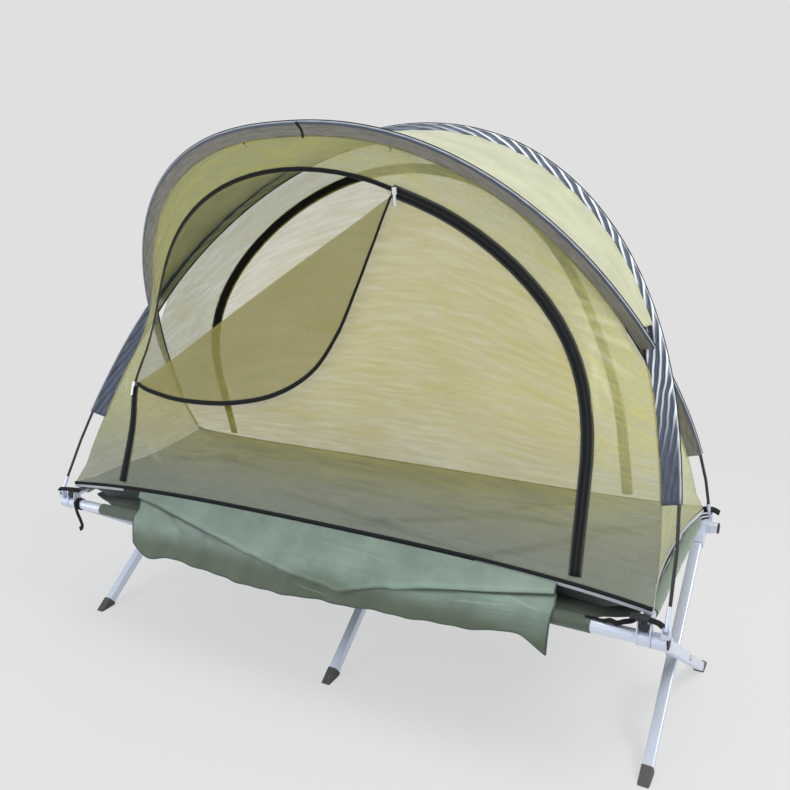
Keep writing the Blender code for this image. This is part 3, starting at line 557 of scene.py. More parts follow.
def run_along(points):
    """How far along a line each of its points lies."""
    return np.concatenate([[0], np.cumsum(np.linalg.norm(np.diff(points, axis=0), axis=1))])


def resampled(points, count):
    """Points evenly spaced along a line."""
    points = np.asarray(points, float)
    run = run_along(points)
    return np.stack([np.interp(np.linspace(0, run[-1], count), run, axis) for axis in points.T], 1)


def padded(rows):
    """Rows with one more at each end, in line with the last two."""
    return np.concatenate([[2 * rows[0] - rows[1]], rows, [2 * rows[-1] - rows[-2]]])


def blend_weights(at, rows):
    """The first of the four padded rows that bear on a smooth curve at each place, and their weights."""
    k = np.minimum(at.astype(int), rows - 2)
    t = at - k
    return k, (
        -0.5 * t**3 + t**2 - 0.5 * t,
        1.5 * t**3 - 2.5 * t**2 + 1,
        -1.5 * t**3 + 2 * t**2 + 0.5 * t,
        0.5 * t**3 - 0.5 * t**2,
    )


def smoothed(points, count):
    """A smooth line through listed points."""
    points = np.asarray(points, float)
    k, near = blend_weights(np.linspace(0, len(points) - 1, count * 4), len(points))
    rows = padded(points)
    return resampled(sum(rows[k + i] * near[i][:, None] for i in range(4)), count)


def hoop_point(hoop, side, reach):
    """The centre of a pole at a distance reach up the hoop's lean, on the left (-1) or right (1) side."""
    rise = max(0.0, (reach - HOOP_STRAIGHT) / (hoop["reach"] - HOOP_STRAIGHT))
    x = hoop["x"] * max(0.0, 1 - rise ** hoop["m"]) ** (1 / hoop["n"])
    lean = math.radians(hoop["lean"])
    y = hoop["side"] * (HOOP_FOOT_Y - reach * math.sin(lean)) - CENTRE_Y
    return np.array([side * x, y, HOOP_FOOT_Z + reach * math.cos(lean)])


def hoop_line(hoop, start, steps):
    """Pole centres from reach start on the left side, over the top, to the same reach on the right side."""
    span = hoop["reach"] - HOOP_STRAIGHT
    first = math.asin(min(1.0, max(0.0, (start - HOOP_STRAIGHT) / span)) ** (hoop["m"] / 2))
    points = []
    for angle in np.linspace(first, math.pi - first, steps):
        reach = HOOP_STRAIGHT + span * math.sin(angle) ** (2 / hoop["m"])
        points.append(hoop_point(hoop, -1 if angle < math.pi / 2 else 1, reach))
    return np.array(points)


def cross_reach(hoop):
    """How far up a hoop's lean the other hoop crosses it."""
    return CROSS_RISE / math.cos(math.radians(hoop["lean"]))


def band_ways(hoop, line):
    """Each sleeve point's way from the pole to the sleeve's inner edge, and the way its front face looks.

    The band lies in the hoop's plane over the top, and turns towards the tent's inside down the legs.
    """
    tangent = unit(np.gradient(line, axis=0))
    lean = math.radians(hoop["lean"])
    face = np.array([0.0, -math.cos(lean), -hoop["side"] * math.sin(lean)])
    inward = unit(np.cross(tangent, face))
    height = (line[:, 2] - HOOP_FOOT_Z) / (hoop["reach"] * math.cos(lean))
    turn = hoop["side"] * np.radians(36.0) * np.clip(1 - height / 0.62, 0, 1)[:, None]
    return inward * np.cos(turn) + face * np.sin(turn), face * np.cos(turn) - inward * np.sin(turn)


def sleeve_edges(hoop, line):
    """How far the sleeve's outer and inner edges lie from the pole, along the band."""
    cut = sizes()
    rise, width = (0.0, cut.brow_sleeve) if hoop is FRONT_HOOP else (REAR_SLEEVE_RISE, cut.rear_sleeve)
    outer = -SLEEVE_CLEARANCE - rise * np.clip((line[:, 2] - 0.75) / 0.65, 0, 1)[:, None]
    return outer, outer + width


def sleeve_line(hoop):
    """The pole centres that a hoop's sleeve follows."""
    return resampled(hoop_line(hoop, hoop["sleeve"], 400), SLEEVE_STEPS)


def seam_point(x, side):
    """The seam between the tent's tub and a wall: front (-1) or rear (1)."""
    u = np.abs(x) / SEAM_SPAN
    y = side * (SEAM_OFF + SEAM_FLARE * u**4) - CENTRE_Y
    return np.stack([x, y, SEAM_Z - SEAM_DIP * u**2], -1)


def seam_corner(end, side):
    """The tub's corner at the left (-1) or right (1) end."""
    return seam_point(np.array(end * SEAM_HALF), side)


def end_seam(first, last, end, steps):
    """The tub's seam from one corner of an end to the other, drawn in at its middle."""
    share = np.linspace(0, 1, steps)[:, None]
    line = first * (1 - share) + last * share
    line[:, 0] -= end * END_TUCK * 4 * (share * (1 - share))[:, 0]
    return line


class Surface:
    """A smooth surface through a coarse grid of points, read at any u (along) and v (up) from 0 to 1."""

    def __init__(self, grid, outward):
        self.grid = padded(padded(grid).swapaxes(0, 1)).swapaxes(0, 1)
        self.outward = np.array(outward, float)

    def at(self, u, v):
        rows, columns = (size - 2 for size in self.grid.shape[:2])
        j, along = blend_weights(np.clip(u, 0, 1) * (columns - 1), columns)
        i, up = blend_weights(np.clip(v, 0, 1) * (rows - 1), rows)
        return sum(
            self.grid[i + a, j + b] * (up[a] * along[b])[..., None] for a in range(4) for b in range(4)
        )

    def normal(self, u, v, reach=0.004):
        u, v = np.clip(u, reach, 1 - reach), np.clip(v, reach, 1 - reach)
        along = self.at(u + reach, v) - self.at(u - reach, v)
        up = self.at(u, v + reach) - self.at(u, v - reach)
        way = unit(np.cross(along, up))
        return way * np.sign(way @ self.outward)[..., None]

    def find(self, x, z, reach=0.003):
        """The (u, v) of the places over (x, z), found by shortened Newton steps."""
        u, v = np.clip(x / 1.8 + 0.5, 0, 1), np.clip((z - 0.46) / 1.0, 0.02, 0.98)
        for _ in range(14):
            here = self.at(u, v)
            run_u, run_v = (np.clip(w + reach, 0, 1) - np.clip(w - reach, 0, 1) for w in (u, v))
            du = (self.at(u + reach, v) - self.at(u - reach, v)) / run_u[..., None]
            dv = (self.at(u, v + reach) - self.at(u, v - reach)) / run_v[..., None]
            ex, ez = x - here[..., 0], z - here[..., 2]
            area = du[..., 0] * dv[..., 2] - du[..., 2] * dv[..., 0]
            u = np.clip(u + 0.8 * (ex * dv[..., 2] - ez * dv[..., 0]) / area, 0, 1)
            v = np.clip(v + 0.8 * (ez * du[..., 0] - ex * du[..., 2]) / area, 0, 1)
        return u, v

    def over(self, path, lift=0.0):
        """Points and outward ways along a path in (x, z), lifted off the surface."""
        u, v = self.find(path[:, 0], path[:, 1])
        way = self.normal(u, v)
        return self.at(u, v) + way * np.asarray(lift)[..., None], way


def tight(bottom, top, left, right, columns, rows, rounds, outward):
    """A four-sided cloth between edge lines, drawn tight like a stretched film."""
    bottom, top = resampled(bottom, columns), resampled(top, columns)
    left, right = resampled(left, rows), resampled(right, rows)
    u = np.linspace(0, 1, columns)[None, :, None]
    v = np.linspace(0, 1, rows)[:, None, None]
    across = left[:, None] * (1 - u) + right[:, None] * u
    along = bottom[None] * (1 - v) + top[None] * v
    corners = (
        bottom[0] * (1 - u) * (1 - v) + bottom[-1] * u * (1 - v) + top[0] * (1 - u) * v + top[-1] * u * v
    )
    grid = across + along - corners
    for _ in range(rounds):
        near = grid[:-2, 1:-1] + grid[2:, 1:-1] + grid[1:-1, :-2] + grid[1:-1, 2:]
        grid[1:-1, 1:-1] = near / 4
    return Surface(grid, outward)


def pulled(surface, x, z, height, reach=0.085):
    """The surface drawn out around one place, with its edges held."""
    grid = surface.grid[1:-1, 1:-1].copy()
    way = surface.normal(*surface.find(np.array([x]), np.array([z])))[0]
    near = np.exp(-((grid[..., 0] - x) ** 2 + (grid[..., 2] - z) ** 2) / reach**2)
    near[[0, -1]] = 0
    near[:, [0, -1]] = 0
    return Surface(grid + near[..., None] * way * height, surface.outward)


def creased(u, v, creases, share=1.0):
    """Heights of ridges along straight folds: (u, v) to (u, v), width, height."""
    total = np.zeros_like(u)
    for (u0, v0), (u1, v1), width, height in creases:
        run = math.hypot(u1 - u0, v1 - v0)
        du, dv = (u1 - u0) / run, (v1 - v0) / run
        along = ((u - u0) * du + (v - v0) * dv) / run
        off = (u - u0) * dv - (v - v0) * du
        fade = np.clip(along * (1 - along) * 4, 0, 1) * ((along > 0) & (along < 1))
        total += share * height * np.exp(-((off / width) ** 2)) * np.sqrt(fade)
    return total


def modify(piece, kind, **settings):
    """Adds a modifier of this kind with these settings."""
    step = piece.modifiers.new(kind.title(), kind)
    for name, value in settings.items():
        setattr(step, name, value)


def mesh_piece(name, bm, paints, smooth=True):
    """A new object at the origin from a bmesh."""
    mesh = bpy.data.meshes.new(name)
    bm.to_mesh(mesh)
    bm.free()
    piece = bpy.data.objects.new(name, mesh)
    bpy.context.scene.collection.objects.link(piece)
    for paint in paints:
        mesh.materials.append(paint)
    if smooth:
        mesh.shade_smooth()
    return piece


def gridded(name, columns, rows, place, paints, thickness, size, offset=0.0, wrap=False, marks=None):
    """A cloth from a flat grid, shaped by place(u, v) and given a thickness.

    Size scales its UV map to metres. A wrapped cloth closes on itself in v, like a tube. Marks(u, v) says
    how far a crease's painted highlight (+) or painted shade (-) shows in its colour.
    """
    bm = bmesh.new()
    layer = bm.loops.layers.uv.new("UVMap")
    bmesh.ops.create_grid(bm, x_segments=columns, y_segments=rows, size=0.5, calc_uvs=True)
    flat = np.array([v.co for v in bm.verts]) + 0.5
    for vertex, at in zip(bm.verts, place(flat[:, 0], flat[:, 1])):
        vertex.co = at
    if marks:
        fold = bm.verts.layers.float.new("fold")
        for vertex, value in zip(bm.verts, marks(flat[:, 0], flat[:, 1])):
            vertex[fold] = value
    for face in bm.faces:
        for loop in face.loops:
            loop[layer].uv = [at * scale for at, scale in zip(loop[layer].uv, size)]
    if wrap:
        bmesh.ops.remove_doubles(bm, verts=bm.verts, dist=WELD / 2)
        bmesh.ops.recalc_face_normals(bm, faces=bm.faces)
    piece = mesh_piece(name, bm, paints)
    if thickness:
        modify(piece, "SOLIDIFY", thickness=thickness, offset=offset, material_offset=len(paints) - 1)
    return piece


def ribbon(name, points, ways, width, thickness, paint, lift, across, crown=0.0, shift=0.0):
    """A flat tape that follows points, facing along ways. Its width may be a few numbers along its run."""
    points = points + ways * lift
    side = unit(np.cross(unit(np.gradient(points, axis=0)), ways))
    width = np.atleast_1d(width)
    widths = np.interp(np.linspace(0, 1, len(points)), np.linspace(0, 1, len(width)), width)[:, None]

    def place(u, v):
        k = nearest(u, points)
        off = (v - 0.5)[:, None]
        rise = crown * (1 - 4 * off**2)
        return points[k] + side[k] * (off * widths[k] + shift) + ways[k] * rise

    size = (run_along(points)[-1], float(widths.max()))
    return gridded(name, len(points) - 1, across, place, [paint], thickness, size)


def tube(name, points, radius, paint, ways=None):
    """A thin round cord along points, with closed ends."""
    around = 6
    tangent = unit(np.gradient(points, axis=0))
    if ways is None:
        ways = np.where(np.abs(tangent[:, 2:3]) > 0.95, [0.0, 1.0, 0.0], [0.0, 0.0, 1.0])
    side = unit(np.cross(tangent, ways))
    rise = unit(np.cross(side, tangent))

    def place(u, v):
        k = nearest(u, points)
        angle = (v * math.tau)[:, None]
        return points[k] + side[k] * np.cos(angle) * radius + rise[k] * np.sin(angle) * radius

    size = (run_along(points)[-1], math.tau * radius)
    piece = gridded(name, len(points) - 1, around, place, [paint], 0.0, size, wrap=True)
    bm = bmesh.new()
    bm.from_mesh(piece.data)
    bmesh.ops.holes_fill(bm, edges=bm.edges, sides=around + 1)
    bmesh.ops.recalc_face_normals(bm, faces=bm.faces)
    bm.to_mesh(piece.data)
    bm.free()
    return piece


def plug(name, centre, radius, depth, paint):
    """A round plug with a rounded rim, facing along Y."""
    bm = bmesh.new()
    bmesh.ops.create_cone(bm, cap_ends=True, segments=32, radius1=radius, radius2=radius, depth=depth)
    rim = [edge for edge in bm.edges if abs(edge.verts[0].co.z - edge.verts[1].co.z) < 1e-6]
    bmesh.ops.bevel(bm, geom=rim, offset=depth * 0.3, segments=3, profile=0.5, affect="EDGES", material=-1)
    at = Matrix.Translation(centre) @ Matrix.Rotation(math.pi / 2, 4, "X")
    bmesh.ops.transform(bm, matrix=at, verts=bm.verts)
    return mesh_piece(name, bm, [paint], smooth=False)


def riding(piece, body, slot, *nodes):
    """Sets a piece on its body and hides the CAD nodes that it replaces. Its slot is not used."""
    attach(piece, body)
    if nodes:
        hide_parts(*nodes)
    return piece


def flattened(piece):
    """Gives a tent piece its own copy of its mesh."""
    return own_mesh(piece)


def on_hoop(piece, slot, *nodes):
    """Hangs a tent piece on the rear hoop."""
    return flattened(riding(piece, "rear_hoop", slot, *nodes))


def on_bed(piece, slot, *nodes, y=-0.302, keep=0.03):
    """Lays a tent piece on the front frame, with its own copy of its mesh."""
    riding(piece, "front_frame", slot, *nodes)
    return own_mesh(piece)


def inner_edge(hoop, line):
    """Where a wall is sewn on along a hoop: just inside the sleeve's inner edge."""
    inward, _ = band_ways(hoop, line)
    return line + inward * (sleeve_edges(hoop, line)[1] - SEAM_ALLOWANCE)


def leg_seam(hoop, side):
    """The sleeve's inner edge up one leg of a hoop, from the tub's corner."""
    reaches = np.linspace(LEG_SEAM_FROM, cross_reach(hoop) - LEG_SHORT_OF_CROSSING, 24)
    line = np.array([hoop_point(hoop, side, reach) for reach in reaches])
    seam = inner_edge(hoop, line[::-side])
    return np.vstack([seam_corner(side, hoop["side"]), seam[::-side]])


def wall_surface(legs, top, side):
    """A net wall between one hoop's legs, the other hoop's arch and the tub's seam."""
    arch = inner_edge(top, hoop_line(top, cross_reach(top) + WALL_PAST_CROSSING, 60))
    edges = []
    for way in (-1, 1):
        line = leg_seam(legs, way)
        high = (way * (abs(arch[0, 0]) - 0.004), (line[-1, 1] + arch[0, 1]) / 2, HOOP_FOOT_Z + CROSS_RISE)
        edges.append(np.vstack([line, high]))
    left, right = edges
    bottom = seam_point(np.linspace(-SEAM_HALF, SEAM_HALF, 40), side)
    over = np.vstack([left[-1], arch, right[-1]])
    return tight(bottom, over, left, right, *WALL_GRID, 300, (0, side, 0))


def zip_path(shape, steps):
    """A door zip's line in (x, z): straight low legs under a wide arch."""
    half, knee = shape["half"], shape["knee"]
    low = [(-half - 0.006, 0.474), (-half - 0.003, 0.56), (-half, knee)]
    over = [
        (-half * math.cos(angle), knee + (shape["top"] - knee) * math.sin(angle) ** 0.96)
        for angle in np.linspace(0, math.pi, steps)[1:-1]
    ]
    return resampled(low + over + [(-x, z) for x, z in low[::-1]], 4 * steps)


class TENTCOT_OT_walls(Operator):
    """Sews the net walls between the hoops, with the door's unzipped corner open"""

    bl_idname = "tentcot.walls"
    bl_label = "Net Walls"

    def execute(self, context):
        tints, cut = colours(), sizes()
        front_net = net_paint("front_net", tints.net, 0.295, tints.surround, FRONT_ZIP)
        # painted light: the rear wall's net and surround are lighter copies of the front's, standing in for
        # light shining through them
        pale, backlit_net = shaded(tints.surround, 1.2), shaded(tints.net, 1.9)
        rear_net = net_paint("rear_net", backlit_net, 0.220, pale, REAR_ZIP)
        walls = ((-1, "front_wall", front_net, 1.25), (1, "rear_wall", rear_net, 1.42))
        for side, name, net, area in walls:
            surface = SURFACES[name]

            def place(u, v):
                ripple = 0.0016 * np.sin(31 * u + 7 * v) * np.sin(9 * v + 3 * u) * np.sin(math.pi * v)
                smooth = surface.at(u, v)
                height = creased(side * -smooth[:, 0], smooth[:, 2], WALL_CREASES) + ripple
                edge = np.clip(np.minimum(v, 1 - v) * 12, 0, 1)
                return smooth + surface.normal(u, v) * (height * edge)[:, None]

            # how far each crease's painted highlight shows on the net
            def marks(u, v):
                smooth = surface.at(u, v)
                return creased(side * -smooth[:, 0], smooth[:, 2], WALL_CREASES, 140)

            piece = gridded(f"{name}_net", cut.columns, cut.rows, place, [net], cut.net_thickness,
                            (1.8, 1.0), marks=marks)
            if side < 0:
                self.open_door(piece)
            on_hoop(piece, "net_fabric", name)
        return {"FINISHED"}

    def open_door(self, piece):
        """Cuts the unzipped corner out, from the fold line up to the zip's teeth."""
        arch = [p for p in zip_path(FRONT_ZIP, 44) if p[1] > DOOR_LOW[1] and p[0] < DOOR_HIGH[0]]
        bm = bmesh.new()
        for corner in map(Vector, [DOOR_LOW, *arch, DOOR_HIGH]):
            x, z = corner + (DOOR_MIDDLE - corner).normalized() * DOOR_MARGIN
            bm.verts.new((x, CUTTER_FRONT, z))
        bm.faces.new(bm.verts[:])
        grown = bmesh.ops.extrude_face_region(bm, geom=bm.faces[:])
        moved = [g for g in grown["geom"] if isinstance(g, bmesh.types.BMVert)]
        bmesh.ops.translate(bm, vec=(0, CUTTER_DEPTH, 0), verts=moved)
        bmesh.ops.recalc_face_normals(bm, faces=bm.faces)
        cutter = mesh_piece("door_cutter", bm, [])
        modify(piece, "BOOLEAN", operation="DIFFERENCE", solver="EXACT", object=cutter)
        bpy.context.view_layer.update()
        shape = piece.evaluated_get(bpy.context.evaluated_depsgraph_get())
        mesh = bpy.data.meshes.new_from_object(shape)
        piece.modifiers.clear()
        piece.data = mesh
        bpy.data.objects.remove(cutter, do_unlink=True)


class TENTCOT_OT_roof(Operator):
    """Stretches the roof between the hoops' arches, and the end walls between their legs"""

    bl_idname = "tentcot.roof"
    bl_label = "Roof and End Walls"

    def execute(self, context):
        tints, cut = colours(), sizes()
        outside = cloth_paint("roof_outside", tints.roof_top, gloss=0.6, vary=0.10)
        # painted light, in part: the underside's colour holds the yellow of light shining through the roof
        inside = cloth_paint("roof_inside_lit_through", tints.roof_under_lit_through, gloss=0.8, vary=0.12)
        rear_arch, front_arch = (
            hoop_line(hoop, cross_reach(hoop) + ROOF_PAST_CROSSING, 60) for hoop in (REAR_HOOP, FRONT_HOOP)
        )
        way = unit(rear_arch - front_arch)
        low, high = front_arch + way * 0.0045, rear_arch - way * 0.0080
        roof = tight(low, high, [low[0], high[0]], [low[-1], high[-1]], 41, 7, 3, (0, 0, 1))

        def place(u, v):
            puckers = np.sin(u * 150 + 3 * np.sin(u * 17)) * np.exp(-np.minimum(v, 1 - v) * 14)
            sag = -0.006 * np.sin(math.pi * v) + 0.0016 * puckers
            return roof.at(u, v) + roof.normal(u, v) * (sag * np.sin(math.pi * u) ** 0.3)[:, None]

        piece = gridded("roof_cloth", 200, 36, place, [outside, inside], cut.cloth_thickness, (2.4, 0.6))
        on_hoop(piece, "roof_fabric", "roof")

        # painted light, in part: the end walls' net is a brighter copy of the walls' net
        cloth = net_paint("end_wall_net", tints.end_wall, 0.44)
        for side, end in SIDES:
            left, right = (leg_seam(hoop, end) for hoop in (REAR_HOOP, FRONT_HOOP)[::end])
            hem = end_seam(left[0], right[0], end, 21)
            wall = tight(hem, [left[-1], right[-1]], left, right, 11, 17, 40, (end, 0, 0))

            def sagged(u, v):
                slack = 0.004 * np.sin(math.pi * u) * np.sin(9 * v + 2 * u)
                return wall.at(u, v) + wall.normal(u, v) * slack[:, None]

            piece = gridded(f"end_wall_{side}_cloth", 40, 48, sagged, [cloth], cut.net_thickness,
                            (0.56, 0.46))
            on_hoop(piece, "net_fabric", f"end_wall_{side}")
        return {"FINISHED"}


class TENTCOT_OT_sleeves(Operator):
    """Runs each pole through its flat nylon sleeve, with piping along both edges"""

    bl_idname = "tentcot.sleeves"
    bl_label = "Pole Sleeves"

    def execute(self, context):
        tints = colours()
        slate, grey = tints.sleeve, tints.sleeve_grey
        slate_cloth = satin_paint("sleeve_slate", slate, shaded(slate, 1.7), slate, 1.0)
        grey_cloth = satin_paint("sleeve_grey", grey, shaded(grey, 1.3), slate, 0.0)
        piping = tape_paint("sleeve_piping", tints.tape)
        self.sew("rear_hoop", REAR_HOOP, slate_cloth, piping)
        self.sew("front_hoop", FRONT_HOOP, grey_cloth, piping)
        return {"FINISHED"}

    def sew(self, body, hoop, cloth, piping):
        line = sleeve_line(hoop)
        inward, face = band_ways(hoop, line)
        outer, inner = sleeve_edges(hoop, line)
        width, run = inner[0, 0] - outer[0, 0], run_along(line)[-1]

        def place(u, v):
            k = nearest(u, line)
            angle = v * math.tau
            off = outer[k, 0] + width * (0.5 - 0.5 * np.cos(angle))
            off += 0.0012 * np.sin(u * 190 + 2 * np.sin(u * 23)) * np.sin(angle / 2) ** 2
            bulge = 0.0013 + 0.0050 * np.exp(-((off / 0.0115) ** 2))
            bulge += 0.0008 * np.sin((u * run / 0.052 + v * 2.5) * math.tau)
            high = bulge * np.sign(np.sin(angle)) * np.abs(np.sin(angle)) ** 0.55
            return line[k] + inward[k] * off[:, None] + face[k] * high[:, None]

        piece = gridded(f"{body}_sleeve_cloth", SLEEVE_STEPS - 1, 28, place, [cloth], 0.0005, (run, 0.1),
                        -1.0, wrap=True)
        riding(piece, body, "sleeve_fabric", f"{body}_sleeve")
        for tag, off in (("outer", outer), ("inner", inner)):
            riding(tube(f"{body}_piping_{tag}", line + inward * off, 0.0015, piping), body, "zip_tape")


class TENTCOT_OT_zips(Operator):
    """Lays the two door zips on the walls: tape, coil and covering flaps"""

    bl_idname = "tentcot.zips"
    bl_label = "Door Zips"

    def execute(self, context):
        tints, width = colours(), sizes().zip_width
        tape = tape_paint("zip_tape", tints.tape)
        coil = tape_paint("zip_coil", shaded(tints.tape, 1.4), teeth=True)
        cover = cloth_paint("zip_cover", (0.030, 0.034, 0.020), gloss=0.7)
        front = SURFACES["front_wall"]
        path = zip_path(FRONT_ZIP, 44)
        low, high = (int(np.argmin(np.hypot(*(path - at).T))) for at in (DOOR_LOW, DOOR_HIGH))
        for tag, run in (("left", path[: low + 1]), ("right", path[high:])):
            self.closed(f"front_zip_{tag}", *front.over(run), width, tape, coil, cover)
        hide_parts("front_zip")
        points, ways = front.over(path[low : high + 1])
        half = ribbon("front_zip_open_tape", points, ways, width * 0.36, 0.0008, tape, 0.002, 2, 0.0,
                      -0.0045)
        on_hoop(half, "zip_tape")
        teeth = ribbon("front_zip_open_teeth", points, ways, 0.0026, 0.0016, coil, 0.0022, 2)
        on_hoop(teeth, "zip_tape")
        points, ways = SURFACES["rear_wall"].over(zip_path(REAR_ZIP, 40))
        self.closed("rear_zip", points, ways, width, tape, coil, cover)
        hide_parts("rear_zip")
        self.sliders()
        return {"FINISHED"}

    def sliders(self):
        """The two zip sliders: welded copies of their CAD nodes, each on its own body."""
        nickel = metal_paint("zip_nickel", (0.72, 0.73, 0.75), 2, 0.22)
        for name in ("slider_low", "slider_top"):
            bm = bmesh.new()
            bm.from_mesh(frame["nodes"][name].data)
            bmesh.ops.remove_doubles(bm, verts=bm.verts, dist=WELD)
            piece = mesh_piece(f"{name}_pull", bm, [nickel], smooth=False)
            flattened(riding(piece, name, "zinc", name))

    def closed(self, name, points, ways, width, tape, coil, cover):
        """A zip's layers from the cover to the facing: width, thickness, lift, finish and crown."""
        for tag, wide, thick, lift, paint, crown in (
            ("cover", width + 0.004, 0.0006, 0.0018, cover, 0.0),
            ("tape", width - 0.006, 0.0008, 0.0030, tape, 0.0008),
            ("coil", 0.0055, 0.0014, 0.0044, coil, 0.0008),
            ("facing", width - 0.004, 0.0008, -0.0018, tape, 0.0),
        ):
            on_hoop(ribbon(f"{name}_{tag}", points, ways, wide, thick, paint, lift, 4, crown), "zip_tape")


class TENTCOT_OT_door_flap(Operator):
    """Folds the unzipped corner of the door down over the wall"""

    bl_idname = "tentcot.door_flap"
    bl_label = "Door Flap"

    def execute(self, context):
        tints, cut = colours(), sizes()
        net = net_paint("flap_net", (0.300, 0.265, 0.060), 0.40)
        tape = tape_paint("flap_tape", tints.tape)
        wall = SURFACES["front_wall"]
        hung = smoothed(HANGING_EDGE, 121)
        low, high = np.array(DOOR_LOW), np.array(DOOR_HIGH)

        def flat(u, v):
            share = 0.012 + 0.988 * u[:, None]
            fold = low + (high - low) * share
            return fold + (hung[nearest(u, hung)] - fold) * v[:, None]

        def place(u, v):
            lift = 0.004 + 0.020 * v * np.sin(math.pi * u) ** 0.7
            lift += 0.0022 * np.sin(13 * u + 2 * v) * v * np.sin(math.pi * u)
            roll = 0.003 * np.exp(-v * 30)
            return wall.over(flat(u, v), lift + roll)[0]

        piece = gridded("door_flap_net", 120, 36, place, [net], cut.net_thickness, (1.1, 0.4))
        on_hoop(piece, "net_fabric", "door_flap")
        u = np.linspace(0, 1, 121)
        edge = place(u, np.ones_like(u))
        _, ways = wall.over(flat(u, np.ones_like(u)))
        taper = (0.012, 0.013, 0.012, 0.008, 0.005)
        on_hoop(ribbon("door_flap_tape", edge, ways, taper, 0.0009, tape, 0.0012, 3, 0.001), "zip_tape")
        return {"FINISHED"}


class TENTCOT_OT_tub(Operator):
    """Lays the tent's tub floor on the canvas, with its turned-up sides and the seam tape round the top"""

    bl_idname = "tentcot.tub"
    bl_label = "Tub and Seam Tape"

    def execute(self, context):
        tints, cut = colours(), sizes()
        # painted shade, in part: the tub's outer side is made near black for the shadow it lies in
        outside = cloth_paint("tub_outside_shaded", (0.018, 0.030, 0.026), gloss=0.5)
        inside = cloth_paint("tub_inside", (0.33, 0.37, 0.38), gloss=0.6, fold=0.004, vary=0.14)
        half = np.array([(0.55, 0.0), (0.90, 0.0), (0.965, 0.12), (0.99, 0.55), (1.0, 1.0)])
        profile = np.vstack([half[::-1] * (-1, 1), (0.0, 0.0), half])
        run = np.linspace(0, 1, len(profile))

        def place(u, v):
            across, up = (np.interp(v, run, axis) for axis in profile.T)
            x = SEAM_HALF * (2 * u - 1)
            rim = seam_point(x, 1)
            end = np.clip((np.abs(x) / SEAM_HALF - 0.88) / 0.12, 0, 1)
            x = x - np.sign(x) * END_TUCK * end * (1 - across**2)
            floor = RAIL_Z + TUB_RISE + TUB_END_RISE * end**0.8
            y = across * (rim[:, 1] + CENTRE_Y) - CENTRE_Y
            z = floor + up * (rim[:, 2] + 0.0010 - floor)
            flat = np.clip((0.9 - np.abs(across)) * 8, 0, 1)
            folds = 1.7 * creased(u, v, TUB_CREASES) * flat * (1 - end)
            rough = 0.0015 * np.sin(40 * u + 5 * v) * np.sin(33 * v + 9 * u)
            return np.stack([x, y, z + folds + rough * flat], 1)

        # painted highlight on the folds' crests, painted shade beside them, and the painted lines of shade
        def marks(u, v):
            crest, shade = (
                creased(u, v, [((a, b - low), (c, d - low), width, depth)
                               for (a, b), (c, d), width, _ in TUB_CREASES])
                for low, depth in ((0, 0.5), (0.02, 0.9))
            )
            return crest - shade - creased(u, v, TUB_LINES)

        piece = gridded("tub_cloth", 250, 130, place, [inside, outside], cut.cloth_thickness, (1.8, 0.62),
                        marks=marks)
        on_bed(piece, "apron_cloth", "tent_tub")

        tape = tape_paint("seam_tape", shaded(tints.tape, 1.4))
        for side, name in ((-1, "front"), (1, "rear")):
            line = seam_point(np.linspace(-SEAM_HALF, SEAM_HALF, 120), side)
            ways = np.tile([0.0, side * 0.92, 0.39], (len(line), 1))
            piece = ribbon(f"seam_tape_{name}", line, ways, cut.seam_width, 0.0012, tape, 0.0022, 2, 0.0008)
            on_bed(piece, "zip_tape")
        return {"FINISHED"}


